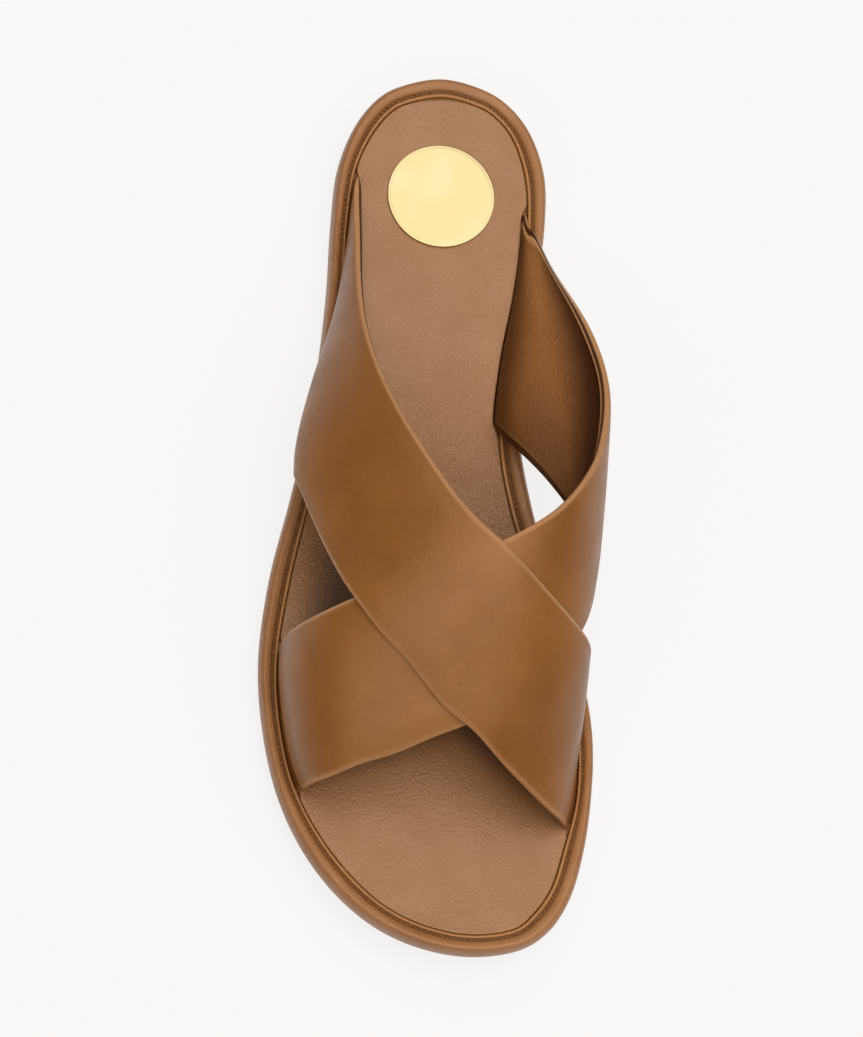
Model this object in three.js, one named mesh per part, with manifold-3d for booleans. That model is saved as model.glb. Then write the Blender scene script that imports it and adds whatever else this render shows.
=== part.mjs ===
import * as THREE from 'three';
import Module from 'manifold-3d';

const wasm = await Module();
wasm.setup();

// Slide sandal for the right foot: a leather-wrapped footbed on a thin sole, with two wide
// straps that cross over the instep. Millimetres, toe towards -Y, big toe side towards +X,
// standing on z = 0 with the middle of its length and width at the origin.

// Sole
const LENGTH = 258;
const BALL_WIDTH = 94.6;
const FOREFOOT_HEIGHT = 12.2;
const HEEL_HEIGHT = 15.2;
const TOE_SPRING = 4.5;
const HEEL_SPRING = 1.4;
const ARCH_RISE = 1.2;
const OUTSOLE_THICKNESS = 3;
const OUTSOLE_INSET = 1.4;
const OUTSOLE_CHAMFER = 0.7;

// Rim of the footbed, a soft roll with a sewn channel and a narrow strip inside it
const RIM_WIDTH = 5.3;
const ROLL_WIDTH = 3.5;
const CHANNEL_DEPTH = 1.1;
const STRIP_WIDTH = 1.2;
const STRIP_DROP = 0.4;
const STRIP_OUTER_ROUND = 0.1;
const STRIP_INNER_ROUND = 0.4;
const RECESS_DRAFT = 0.1;

// Insole
const INSOLE_THICKNESS = 2;
const INSOLE_DROP = 0.5;
const INSOLE_CHAMFER = 0.5;
const HEEL_DISH = 0.9;
const SEAT_OVERCUT = 1;

// Straps, leather with its lining
const INSTEP_HEIGHT = 52;
const WALL = 2.5;
const FOOT_WALL = 1.3;
const EDGE_RADIUS = 0.9;
const BOND = 0.5;
const DRAPE = 11;

// Heel disc
const DISC_DIAMETER = 31;
const DISC_THICKNESS = 1.6;
const DISC_PROUD = 0.9;
const DISC_BEVEL = 0.4;

// Place of the disc's middle, as shares of LENGTH from the toe and of BALL_WIDTH from the middle
const DISC_PLACE = { along: 0.858, across: 0.043 };

const GAP = 0.3;
const SEAT_END_ROOM = 1.2;

// Outline of the sole. along runs from the toe's tip (0) to the heel's (1) as a share of
// LENGTH; lateral and medial are shares of BALL_WIDTH from the middle. The rim columns are the
// rim's width there as shares of RIM_WIDTH: it narrows beside the strap ends.
const OUTLINE = [
  { along: 0, lateral: 0.13, medial: 0.13, lateralRim: 1, medialRim: 1 },
  { along: 0.01, lateral: -0.025, medial: 0.285, lateralRim: 1, medialRim: 1.03 },
  { along: 0.032, lateral: -0.152, medial: 0.367, lateralRim: 1.03, medialRim: 1.17 },
  { along: 0.066, lateral: -0.261, medial: 0.425, lateralRim: 1.08, medialRim: 1.12 },
  { along: 0.116, lateral: -0.361, medial: 0.467, lateralRim: 1.02, medialRim: 1.08 },
  { along: 0.176, lateral: -0.434, medial: 0.493, lateralRim: 0.88, medialRim: 0.83 },
  { along: 0.247, lateral: -0.478, medial: 0.5, lateralRim: 0.87, medialRim: 0.87 },
  { along: 0.322, lateral: -0.492, medial: 0.468, lateralRim: 0.95, medialRim: 0.9 },
  { along: 0.413, lateral: -0.463, medial: 0.395, lateralRim: 1.08, medialRim: 1.06 },
  { along: 0.504, lateral: -0.404, medial: 0.323, lateralRim: 1, medialRim: 1.25 },
  { along: 0.584, lateral: -0.357, medial: 0.286, lateralRim: 0.95, medialRim: 1.2 },
  { along: 0.665, lateral: -0.322, medial: 0.293, lateralRim: 0.88, medialRim: 0.95 },
  { along: 0.746, lateral: -0.299, medial: 0.331, lateralRim: 0.8, medialRim: 0.88 },
  { along: 0.826, lateral: -0.287, medial: 0.363, lateralRim: 0.82, medialRim: 1.02 },
  { along: 0.892, lateral: -0.267, medial: 0.363, lateralRim: 0.95, medialRim: 1.17 },
  { along: 0.946, lateral: -0.209, medial: 0.311, lateralRim: 1.1, medialRim: 1.15 },
  { along: 0.978, lateral: -0.135, medial: 0.233, lateralRim: 1.15, medialRim: 1.17 },
  { along: 0.993, lateral: -0.051, medial: 0.149, lateralRim: 1.2, medialRim: 1.2 },
  { along: 1, lateral: 0.049, medial: 0.049, lateralRim: 1.22, medialRim: 1.22 },
];

// Side of the footbed from the outsole up to the roll's crest. tuck is a share of
// OUTSOLE_INSET, roll a share of ROLL_WIDTH, and up a share of the side's height.
const SIDE_PROFILE = [
  { tuck: 0.8, roll: 0, up: 0 },
  { tuck: 0.3, roll: 0, up: 0.16 },
  { tuck: 0, roll: 0, up: 0.5 },
  { tuck: 0, roll: 0.07, up: 0.74 },
  { tuck: 0, roll: 0.28, up: 0.93 },
  { tuck: 0, roll: 0.6, up: 1 },
];

// Inner shoulder of the roll, as shares of ROLL_WIDTH and CHANNEL_DEPTH
const ROLL_SHOULDER = { inset: 0.88, drop: 0.3 };

// Cross-sections of the last over the insole. along is a share of LENGTH; ridge, lateral and
// medial are places across as shares of BALL_WIDTH; the rise columns are heights over the
// insole as shares of INSTEP_HEIGHT; the round columns say how square the arches are.
const LAST = [
  {
    along: 0.12, ridge: 0.081, ridgeRise: 0.29, lateral: -0.267, lateralRise: 0.04,
    medial: 0.368, medialRise: 0.04, lateralRound: 1.8, medialRound: 1.6,
  },
  {
    along: 0.19, ridge: 0.081, ridgeRise: 0.462, lateral: -0.357, lateralRise: 0.06,
    medial: 0.4, medialRise: 0.077, lateralRound: 1.9, medialRound: 1.8,
  },
  {
    along: 0.267, ridge: 0.102, ridgeRise: 0.644, lateral: -0.404, lateralRise: 0.087,
    medial: 0.433, medialRise: 0.163, lateralRound: 1.9, medialRound: 1.95,
  },
  {
    along: 0.353, ridge: 0.133, ridgeRise: 0.837, lateral: -0.414, lateralRise: 0.144,
    medial: 0.442, medialRise: 0.317, lateralRound: 1.9, medialRound: 2,
  },
  {
    along: 0.446, ridge: 0.186, ridgeRise: 0.96, lateral: -0.398, lateralRise: 0.29,
    medial: 0.462, medialRise: 0.423, lateralRound: 1.8, medialRound: 2,
  },
  {
    along: 0.531, ridge: 0.217, ridgeRise: 0.988, lateral: -0.393, lateralRise: 0.354,
    medial: 0.478, medialRise: 0.45, lateralRound: 1.7, medialRound: 2,
  },
  {
    along: 0.609, ridge: 0.228, ridgeRise: 0.954, lateral: -0.344, lateralRise: 0.26,
    medial: 0.488, medialRise: 0.396, lateralRound: 1.65, medialRound: 2,
  },
  {
    along: 0.694, ridge: 0.228, ridgeRise: 0.923, lateral: -0.273, lateralRise: 0.144,
    medial: 0.444, medialRise: 0.288, lateralRound: 1.6, medialRound: 1.9,
  },
  {
    along: 0.779, ridge: 0.196, ridgeRise: 0.877, lateral: -0.227, lateralRise: 0.08,
    medial: 0.365, medialRise: 0.135, lateralRound: 1.6, medialRound: 1.8,
  },
  {
    along: 0.829, ridge: 0.175, ridgeRise: 0.837, lateral: -0.21, lateralRise: 0.058,
    medial: 0.323, medialRise: 0.087, lateralRound: 1.6, medialRound: 1.7,
  },
  {
    along: 0.888, ridge: 0.144, ridgeRise: 0.8, lateral: -0.196, lateralRise: 0.048,
    medial: 0.291, medialRise: 0.048, lateralRound: 1.6, medialRound: 1.7,
  },
];

// Edges of the straps, as shares of LENGTH from the toe. round runs over the last from the
// little toe side's groove (0) through the ridge (0.5) to the big toe side's groove (1).
const OVER_STRAP = [
  { round: 0, back: 0.877, front: 0.52 },
  { round: 0.05, back: 0.876, front: 0.519 },
  { round: 0.15, back: 0.865, front: 0.508 },
  { round: 0.2, back: 0.852, front: 0.504 },
  { round: 0.24, back: 0.795, front: 0.48 },
  { round: 0.265, back: 0.733, front: 0.4515 },
  { round: 0.29, back: 0.682, front: 0.4225 },
  { round: 0.32, back: 0.632, front: 0.391 },
  { round: 0.36, back: 0.5645, front: 0.3515 },
  { round: 0.4, back: 0.5025, front: 0.3155 },
  { round: 0.44, back: 0.4495, front: 0.2855 },
  { round: 0.49, back: 0.409, front: 0.2335 },
  { round: 0.55, back: 0.38, front: 0.2 },
  { round: 0.62, back: 0.351, front: 0.1725 },
  { round: 0.7, back: 0.3295, front: 0.152 },
  { round: 0.78, back: 0.3205, front: 0.146 },
  { round: 0.88, back: 0.314, front: 0.144 },
  { round: 0.95, back: 0.308, front: 0.143 },
  { round: 1, back: 0.307, front: 0.143 },
];

const UNDER_STRAP = [
  { round: 0, back: 0.336, front: 0.176 },
  { round: 0.05, back: 0.336, front: 0.176 },
  { round: 0.15, back: 0.334, front: 0.176 },
  { round: 0.26, back: 0.337, front: 0.176 },
  { round: 0.3, back: 0.341, front: 0.177 },
  { round: 0.34, back: 0.349, front: 0.1815 },
  { round: 0.38, back: 0.36, front: 0.188 },
  { round: 0.43, back: 0.378, front: 0.196 },
  { round: 0.48, back: 0.4, front: 0.215 },
  { round: 0.53, back: 0.419, front: 0.241 },
  { round: 0.6, back: 0.45, front: 0.278 },
  { round: 0.66, back: 0.489, front: 0.308 },
  { round: 0.71, back: 0.526, front: 0.335 },
  { round: 0.745, back: 0.57, front: 0.361 },
  { round: 0.775, back: 0.628, front: 0.394 },
  { round: 0.8, back: 0.678, front: 0.423 },
  { round: 0.815, back: 0.728, front: 0.438 },
  { round: 0.84, back: 0.792, front: 0.466 },
  { round: 0.9, back: 0.822, front: 0.549 },
  { round: 0.95, back: 0.842, front: 0.589 },
  { round: 1, back: 0.842, front: 0.592 },
];

// Stretches of the underside, as shares of LENGTH from the toe
const TOE_LIFTS_BEFORE = 0.202;
const ARCH_FROM = 0.423;
const ARCH_TO = 0.665;
const HEEL_LIFTS_AFTER = 0.95;

// Stretches of the top, as shares of LENGTH from the toe
const HEEL_FULL_FROM = 0.746;
const DISH_ENDS_AFTER = 0.94;

// Stretches round the last: the upright one in the groove ends at PLUG_END, and the swell out
// to the side ends at SWELL_END. SWELL_PULL says how full the swell is.
const PLUG_END = 0.05;
const SWELL_END = 0.2;
const SWELL_PULL = 0.45;

// Steps to either side of a point that give the last's direction there
const NORMAL_ROUND_STEP = 0.004;
const NORMAL_Y_STEP = 1;

// Fineness of the meshes
const STEPS_PER_ROW = 2;
const COLUMNS = 6;
const STRAP_COLUMNS = 8;
const DISC_SIDES = 64;
const SEAT_STEPS = 12;

const clamp = (value, low, high) => Math.min(Math.max(value, low), high);
const mix = (a, b, share) => a + (b - a) * share;
const smooth = (share) => share * share * (3 - 2 * share);
const along = (y) => y / LENGTH + 0.5;
const placeAlong = (share) => (share - 0.5) * LENGTH;

// Smooth curve through one column of a table
function column(table, key, name, at) {
  const last = table.length - 1;
  const x = clamp(at, table[0][key], table[last][key]);
  let i = 0;
  while (i < last - 1 && table[i + 1][key] < x) i += 1;
  const slope = (k) => (table[k + 1][name] - table[k][name]) / (table[k + 1][key] - table[k][key]);
  const tangent = (k) => {
    if (k === 0) return slope(0);
    if (k === last) return slope(last - 1);
    const before = table[k][key] - table[k - 1][key];
    const after = table[k + 1][key] - table[k][key];
    return (slope(k - 1) * after + slope(k) * before) / (before + after);
  };
  const width = table[i + 1][key] - table[i][key];
  const t = (x - table[i][key]) / width;
  const share = smooth(t);
  const rise = mix(table[i][name], table[i + 1][name], share);
  const lean = (t ** 3 - 2 * t ** 2 + t) * tangent(i) + (t ** 3 - t ** 2) * tangent(i + 1);
  return rise + lean * width;
}

// Heights along the sole
function underside(y) {
  const share = along(y);
  const toe = Math.max(0, (TOE_LIFTS_BEFORE - share) / TOE_LIFTS_BEFORE);
  const heel = Math.max(0, (share - HEEL_LIFTS_AFTER) / (1 - HEEL_LIFTS_AFTER));
  const arch = clamp((share - ARCH_FROM) / (ARCH_TO - ARCH_FROM), 0, 1);
  return TOE_SPRING * toe ** 2 + HEEL_SPRING * heel ** 2 + ARCH_RISE * Math.sin(arch * Math.PI) ** 2;
}

function crest(y) {
  const share = along(y);
  const toe = Math.max(0, (TOE_LIFTS_BEFORE - share) / TOE_LIFTS_BEFORE);
  const heel = smooth(clamp((share - ARCH_FROM) / (HEEL_FULL_FROM - ARCH_FROM), 0, 1));
  return mix(FOREFOOT_HEIGHT, HEEL_HEIGHT, heel) + TOE_SPRING * toe ** 2;
}

const insoleTop = (y) => crest(y) - INSOLE_DROP;
const recess = (y) => insoleTop(y) - INSOLE_THICKNESS - GAP;

// Closed outline of the sole as points, the toe's tip first, then the little toe side, the
// heel's tip and the big toe side, so that point i and point count - i face each other. z
// carries the rim's share.
function outlinePoints() {
  const at = (row, side) => {
    const point = new THREE.Vector3(row[side] * BALL_WIDTH, placeAlong(row.along), 0);
    return point.setZ(row[`${side}Rim`]);
  };
  const lateral = OUTLINE.map((row) => at(row, 'lateral'));
  const medial = OUTLINE.slice(1, -1).reverse().map((row) => at(row, 'medial'));
  const curve = new THREE.CatmullRomCurve3([...lateral, ...medial], true, 'centripetal');
  const count = 2 * (OUTLINE.length - 1) * STEPS_PER_ROW;
  return Array.from({ length: count }, (_, i) => curve.getPoint(i / count));
}

const OUTLINE_POINTS = outlinePoints();
const RIM_SHARES = OUTLINE_POINTS.map((point) => point.z);
const EDGE = OUTLINE_POINTS.map((point) => new THREE.Vector3(point.x, point.y, 0));
const INWARD = EDGE.map((_, i) => {
  const before = EDGE[(i + EDGE.length - 1) % EDGE.length];
  const after = EDGE[(i + 1) % EDGE.length];
  const run = after.clone().sub(before).normalize();
  return new THREE.Vector3(run.y, -run.x, 0);
});
const HALF = EDGE.length / 2;

// The outline moved inward, further where the rim is wide
function ring(inset, height) {
  const within = Math.min(inset / RIM_WIDTH, 1);
  return EDGE.map((point, i) => {
    const widening = (RIM_SHARES[i] - 1) * RIM_WIDTH * within;
    const moved = point.clone().addScaledVector(INWARD[i], inset + widening);
    return new THREE.Vector3(moved.x, moved.y, height(moved.y));
  });
}

// Place across of a line that runs inside the outline, at one y
function acrossAt(side, y, inset) {
  const points = ring(inset, () => 0);
  const medial = [...points.slice(HALF), points[0]].reverse();
  const half = side === 'lateral' ? points.slice(0, HALF + 1) : medial;
  const low = half.findIndex((point, i) => i > 0 && point.y >= y);
  const k = low === -1 ? half.length - 1 : low;
  const share = clamp((y - half[k - 1].y) / (half[k].y - half[k - 1].y), 0, 1);
  return mix(half[k - 1].x, half[k].x, share);
}

// Meshes and solids
function meshData() {
  const vertices = [];
  const triangles = [];
  return {
    vertices,
    triangles,
    add(point) {
      vertices.push(point.x, point.y, point.z);
      return vertices.length / 3 - 1;
    },
    quad(a, b, c, d) {
      triangles.push(a, b, c, a, c, d);
    },
    triangle(a, b, c) {
      triangles.push(a, b, c);
    },
  };
}

function solidOf(data) {
  const make = (triVerts) => new wasm.Manifold(new wasm.Mesh({
    numProp: 3,
    vertProperties: Float32Array.from(data.vertices),
    triVerts: Uint32Array.from(triVerts),
  }));
  const volume = signedVolume(data);
  if (volume > 0) return make(data.triangles);
  const turned = [];
  for (let i = 0; i < data.triangles.length; i += 3) {
    turned.push(data.triangles[i], data.triangles[i + 2], data.triangles[i + 1]);
  }
  return make(turned);
}

function signedVolume(data) {
  const at = (i) => new THREE.Vector3().fromArray(data.vertices, 3 * data.triangles[i]);
  let sum = 0;
  for (let i = 0; i < data.triangles.length; i += 3) sum += at(i).dot(at(i + 1).cross(at(i + 2)));
  return sum;
}

function geometryOf(solid) {
  const mesh = solid.getMesh();
  const geometry = new THREE.BufferGeometry();
  geometry.setAttribute('position', new THREE.BufferAttribute(Float32Array.from(mesh.vertProperties), 3));
  geometry.setIndex(new THREE.BufferAttribute(Uint32Array.from(mesh.triVerts), 1));
  geometry.computeVertexNormals();
  return geometry;
}

// A plate of the sole's outline: rings from its underside's edge up to its top's edge, closed
// by a grid across the underside and one across the top.
function plate(rings, underHeight, topHeight) {
  const data = meshData();
  const count = EDGE.length;
  const loops = rings.map((points) => points.map((point) => data.add(point)));
  for (let r = 0; r + 1 < loops.length; r += 1) {
    for (let i = 0; i < count; i += 1) {
      const next = (i + 1) % count;
      data.quad(loops[r][i], loops[r][next], loops[r + 1][next], loops[r + 1][i]);
    }
  }
  const face = (points, loop, height, flip) => {
    const rows = [];
    for (let i = 1; i < HALF; i += 1) {
      const row = [loop[i]];
      for (let k = 1; k < COLUMNS; k += 1) {
        const place = points[i].clone().lerp(points[count - i], k / COLUMNS);
        row.push(data.add(place.setZ(height(place.x, place.y, k / COLUMNS))));
      }
      row.push(loop[count - i]);
      rows.push(row);
    }
    const join = (a, b, c) => (flip ? data.triangle(a, c, b) : data.triangle(a, b, c));
    for (let k = 0; k < COLUMNS; k += 1) {
      join(loop[0], rows[0][k + 1], rows[0][k]);
      join(loop[HALF], rows[HALF - 2][k], rows[HALF - 2][k + 1]);
      for (let i = 0; i + 2 < HALF; i += 1) {
        join(rows[i][k], rows[i][k + 1], rows[i + 1][k]);
        join(rows[i][k + 1], rows[i + 1][k + 1], rows[i + 1][k]);
      }
    }
  };
  face(rings[0], loops[0], underHeight, false);
  face(rings[rings.length - 1], loops[loops.length - 1], topHeight, true);
  return solidOf(data);
}

const flatAcross = (height) => (x, y) => height(y);

function outsoleSolid() {
  const under = (y) => underside(y);
  const top = (y) => underside(y) + OUTSOLE_THICKNESS;
  const rings = [
    ring(OUTSOLE_INSET + OUTSOLE_CHAMFER, under),
    ring(OUTSOLE_INSET, (y) => under(y) + OUTSOLE_CHAMFER),
    ring(OUTSOLE_INSET, top),
  ];
  return plate(rings, flatAcross(under), flatAcross(top));
}

// Footbed: its side swells out to the outline, its rim rolls over into the sewn channel, and
// the narrow strip drops into the recess that holds the insole and the strap ends.
function footbedSolid() {
  const under = (y) => underside(y) + OUTSOLE_THICKNESS + GAP;
  const side = (share) => (y) => mix(under(y), crest(y), share);
  const below = (drop) => (y) => crest(y) - drop;
  const shoulder = ROLL_WIDTH * ROLL_SHOULDER.inset;
  const channel = ROLL_WIDTH + (RIM_WIDTH - STRIP_WIDTH - ROLL_WIDTH) / 2;
  const rings = [
    ...SIDE_PROFILE.map((row) => ring(OUTSOLE_INSET * row.tuck + ROLL_WIDTH * row.roll, side(row.up))),
    ring(shoulder, below(CHANNEL_DEPTH * ROLL_SHOULDER.drop)),
    ring(channel, below(CHANNEL_DEPTH)),
    ring(RIM_WIDTH - STRIP_WIDTH, below(STRIP_DROP + STRIP_OUTER_ROUND)),
    ring(RIM_WIDTH - STRIP_WIDTH / 2, below(STRIP_DROP)),
    ring(RIM_WIDTH, below(STRIP_DROP + STRIP_INNER_ROUND)),
    ring(RIM_WIDTH + RECESS_DRAFT, recess),
  ];
  return plate(rings, flatAcross(under), flatAcross(recess));
}

// A band of the recess where a strap end stands, cut out of the insole
function strapSeat(side, strap) {
  const end = side === 'lateral' ? strap[0] : strap[strap.length - 1];
  const from = placeAlong(end.front) - SEAT_END_ROOM;
  const to = placeAlong(end.back) + SEAT_END_ROOM;
  const data = meshData();
  const rows = [];
  for (let i = 0; i <= SEAT_STEPS; i += 1) {
    const y = mix(from, to, i / SEAT_STEPS);
    const outer = acrossAt(side, y, RIM_WIDTH - GAP);
    const inner = acrossAt(side, y, RIM_WIDTH + 2 * GAP + FOOT_WALL);
    const corner = (x, z) => data.add(new THREE.Vector3(x, y, z));
    const low = recess(y) - SEAT_OVERCUT;
    const high = insoleTop(y) + SEAT_OVERCUT;
    rows.push([corner(outer, low), corner(inner, low), corner(inner, high), corner(outer, high)]);
  }
  for (let i = 0; i < SEAT_STEPS; i += 1) {
    for (let k = 0; k < 4; k += 1) {
      const next = (k + 1) % 4;
      data.quad(rows[i][k], rows[i][next], rows[i + 1][next], rows[i + 1][k]);
    }
  }
  data.quad(rows[0][3], rows[0][2], rows[0][1], rows[0][0]);
  data.quad(...rows[SEAT_STEPS]);
  return solidOf(data);
}

const DISC_X = DISC_PLACE.across * BALL_WIDTH;
const DISC_Y = placeAlong(DISC_PLACE.along);

function insoleHeight(x, y, share) {
  const heel = smooth(clamp((along(y) - ARCH_FROM) / (ARCH_TO - ARCH_FROM), 0, 1));
  const ends = clamp((1 - along(y)) / (1 - DISH_ENDS_AFTER), 0, 1);
  return insoleTop(y) - HEEL_DISH * heel * ends * (1 - (2 * share - 1) ** 2);
}

const discSeatZ = () => insoleHeight(DISC_X, DISC_Y, 0.5) + DISC_PROUD - DISC_THICKNESS;

// A round plate with its upper edge bevelled
function roundPlate(radius, height, bevel) {
  const points = [
    new THREE.Vector2(0, 0),
    new THREE.Vector2(radius, 0),
    new THREE.Vector2(radius, height - bevel),
    new THREE.Vector2(radius - bevel, height),
    new THREE.Vector2(0, height),
  ];
  const data = meshData();
  const low = data.add(new THREE.Vector3(0, 0, 0));
  const high = data.add(new THREE.Vector3(0, 0, height));
  const rows = [];
  for (let i = 0; i < DISC_SIDES; i += 1) {
    const angle = (i / DISC_SIDES) * 2 * Math.PI;
    const turn = ({ x, y }) => new THREE.Vector3(x * Math.cos(angle), x * Math.sin(angle), y);
    rows.push(points.slice(1, 4).map((point) => data.add(turn(point))));
  }
  rows.forEach((row, i) => {
    const next = rows[(i + 1) % DISC_SIDES];
    data.triangle(low, next[0], row[0]);
    data.quad(row[0], next[0], next[1], row[1]);
    data.quad(row[1], next[1], next[2], row[2]);
    data.triangle(row[2], next[2], high);
  });
  return solidOf(data);
}

function insoleSolid() {
  const inset = RIM_WIDTH + RECESS_DRAFT + GAP;
  const under = (y) => recess(y) + GAP;
  const rings = [
    ring(inset, under),
    ring(inset, (y) => insoleTop(y) - INSOLE_CHAMFER),
    ring(inset + INSOLE_CHAMFER, (y) => insoleTop(y)),
  ];
  const seats = [
    strapSeat('lateral', OVER_STRAP),
    strapSeat('medial', OVER_STRAP),
    strapSeat('lateral', UNDER_STRAP),
    strapSeat('medial', UNDER_STRAP),
  ];
  const whole = plate(rings, flatAcross(under), insoleHeight);
  const seated = seats.reduce((solid, seat) => solid.subtract(seat), whole);
  const pocket = roundPlate(DISC_DIAMETER / 2 + GAP, DISC_THICKNESS + 2 * GAP, DISC_BEVEL);
  return seated.subtract(pocket.translate([DISC_X, DISC_Y, discSeatZ() - GAP]));
}

// Surface of the last, which is the straps' inside. round runs from groove to groove over
// the ridge: a short upright stretch in the groove, a swell out to the side, then an arch.
function lastPoint(round, y) {
  const share = along(y);
  const side = round < 0.5 ? 'lateral' : 'medial';
  const way = Math.min(round, 1 - round);
  const section = (name) => column(LAST, 'along', name, share);
  const base = crest(y) + GAP;
  const foot = acrossAt(side, y, RIM_WIDTH + GAP + FOOT_WALL);
  if (way < PLUG_END) return new THREE.Vector3(foot, y, mix(recess(y) + GAP, base, way / PLUG_END));
  const wideX = section(side) * BALL_WIDTH;
  const wideZ = base + section(`${side}Rise`) * INSTEP_HEIGHT;
  if (way < SWELL_END) {
    const t = (way - PLUG_END) / (SWELL_END - PLUG_END);
    const pull = SWELL_PULL * (wideZ - base);
    const curve = new THREE.CubicBezierCurve3(
      new THREE.Vector3(foot, y, base),
      new THREE.Vector3(foot, y, base + pull),
      new THREE.Vector3(wideX, y, wideZ - pull),
      new THREE.Vector3(wideX, y, wideZ),
    );
    return curve.getPoint(t);
  }
  const angle = ((way - SWELL_END) / (0.5 - SWELL_END)) * (Math.PI / 2);
  const power = 2 / section(`${side}Round`);
  const ridgeX = section('ridge') * BALL_WIDTH;
  const ridgeZ = base + section('ridgeRise') * INSTEP_HEIGHT;
  const out = Math.max(Math.cos(angle), 0) ** power;
  const up = Math.sin(angle) ** power;
  return new THREE.Vector3(mix(ridgeX, wideX, out), y, mix(wideZ, ridgeZ, up));
}

function lastNormal(round, y) {
  const before = lastPoint(Math.max(round - NORMAL_ROUND_STEP, 0), y);
  const after = lastPoint(Math.min(round + NORMAL_ROUND_STEP, 1), y);
  const ahead = lastPoint(round, y - NORMAL_Y_STEP);
  const behind = lastPoint(round, y + NORMAL_Y_STEP);
  return after.sub(before).cross(behind.sub(ahead)).normalize();
}

// The leather is skived where it stands in the groove
function wallAt(round) {
  const way = Math.min(round, 1 - round);
  return mix(FOOT_WALL, WALL, smooth(clamp((way - PLUG_END) / (SWELL_END - PLUG_END), 0, 1)));
}

// How far over the last the upper strap runs: on the lower strap where they cross, and down
// on the last beyond it
function lift(round, y) {
  const back = placeAlong(column(UNDER_STRAP, 'round', 'back', round));
  const front = placeAlong(column(UNDER_STRAP, 'round', 'front', round));
  const beyond = Math.max(y - back, front - y, 0);
  return (WALL - BOND) * (1 - smooth(clamp(beyond / DRAPE, 0, 1)));
}

function strapSolid(strap, offset) {
  const data = meshData();
  const loops = [];
  for (let r = 0; r + 1 < strap.length; r += 1) {
    const steps = STEPS_PER_ROW;
    for (let s = 0; s < steps || (r + 2 === strap.length && s === steps); s += 1) {
      const round = mix(strap[r].round, strap[r + 1].round, s / steps);
      const back = placeAlong(column(strap, 'round', 'back', round));
      const front = placeAlong(column(strap, 'round', 'front', round));
      const over = [];
      const under = [];
      for (let k = 0; k <= STRAP_COLUMNS; k += 1) {
        const y = mix(front, back, k / STRAP_COLUMNS);
        const normal = lastNormal(round, y);
        const inner = lastPoint(round, y).addScaledVector(normal, offset(round, y));
        over.push(inner.clone().addScaledVector(normal, wallAt(round)));
        under.push(inner);
      }
      const edge = (k, beside) => {
        const middle = over[k].clone().lerp(under[k], 0.5);
        const inward = over[beside].clone().lerp(under[beside], 0.5).sub(middle).normalize();
        over[k].addScaledVector(inward, EDGE_RADIUS * wallAt(round) / WALL);
        under[k].addScaledVector(inward, EDGE_RADIUS * wallAt(round) / WALL);
        return middle;
      };
      const frontEdge = edge(0, 1);
      const backEdge = edge(STRAP_COLUMNS, STRAP_COLUMNS - 1);
      const loop = [frontEdge, ...over, backEdge, ...under.reverse()];
      loops.push(loop.map((point) => data.add(point)));
    }
  }
  const size = loops[0].length;
  for (let i = 0; i + 1 < loops.length; i += 1) {
    for (let k = 0; k < size; k += 1) {
      const next = (k + 1) % size;
      data.quad(loops[i][k], loops[i][next], loops[i + 1][next], loops[i + 1][k]);
    }
  }
  const close = (loop, flip) => {
    const join = (a, b, c) => (flip ? data.triangle(a, c, b) : data.triangle(a, b, c));
    join(loop[0], loop[size - 1], loop[1]);
    for (let k = 1; k <= STRAP_COLUMNS; k += 1) {
      join(loop[k], loop[size - k], loop[k + 1]);
      join(loop[k + 1], loop[size - k], loop[size - k - 1]);
    }
    join(loop[STRAP_COLUMNS + 1], loop[STRAP_COLUMNS + 3], loop[STRAP_COLUMNS + 2]);
  };
  close(loops[0], false);
  close(loops[loops.length - 1], true);
  return solidOf(data);
}

function upperSolid() {
  const lower = strapSolid(UNDER_STRAP, () => 0);
  const higher = strapSolid(OVER_STRAP, lift);
  return lower.add(higher);
}

function discSolid() {
  return roundPlate(DISC_DIAMETER / 2, DISC_THICKNESS, DISC_BEVEL).translate([DISC_X, DISC_Y, discSeatZ()]);
}

const MATERIALS = {
  sole: new THREE.MeshStandardMaterial({ color: 0x5b3a20, roughness: 0.7, metalness: 0 }),
  rim: new THREE.MeshStandardMaterial({ color: 0xa87a50, roughness: 0.5, metalness: 0 }),
  insole: new THREE.MeshStandardMaterial({ color: 0xa67855, roughness: 0.65, metalness: 0 }),
  strap: new THREE.MeshStandardMaterial({ color: 0x976336, roughness: 0.42, metalness: 0 }),
  gold: new THREE.MeshStandardMaterial({ color: 0xf2d9a0, roughness: 0.25, metalness: 1 }),
};

const sandal = new THREE.Group();
const pieces = [
  ['outsole', outsoleSolid(), MATERIALS.sole],
  ['footbed', footbedSolid(), MATERIALS.rim],
  ['insole', insoleSolid(), MATERIALS.insole],
  ['upper', upperSolid(), MATERIALS.strap],
  ['heel_disc', discSolid(), MATERIALS.gold],
];
for (const [name, solid, material] of pieces) {
  const mesh = new THREE.Mesh(geometryOf(solid), material);
  mesh.name = name;
  sandal.add(mesh);
}

// The origin is under the middle of the whole shoe
const bounds = new THREE.Box3().setFromObject(sandal);
const middle = bounds.getCenter(new THREE.Vector3());
sandal.position.set(-middle.x, -middle.y, -bounds.min.z);
sandal.updateMatrixWorld(true);

export default sandal;
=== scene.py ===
"""A tan leather cross-strap slide sandal for the right foot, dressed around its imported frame.

Lengths are in millimetres, in the shoe's own frame: toe towards -Y, big toe side towards +X,
standing on z = 0. They become metres when a mesh is made.
"""

import logging
import math
from collections.abc import Callable, Mapping, Sequence
from dataclasses import dataclass, field
from enum import Enum
from typing import Any, TypeAlias

import bpy
import numpy as np
from mathutils import Matrix, Vector


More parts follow.
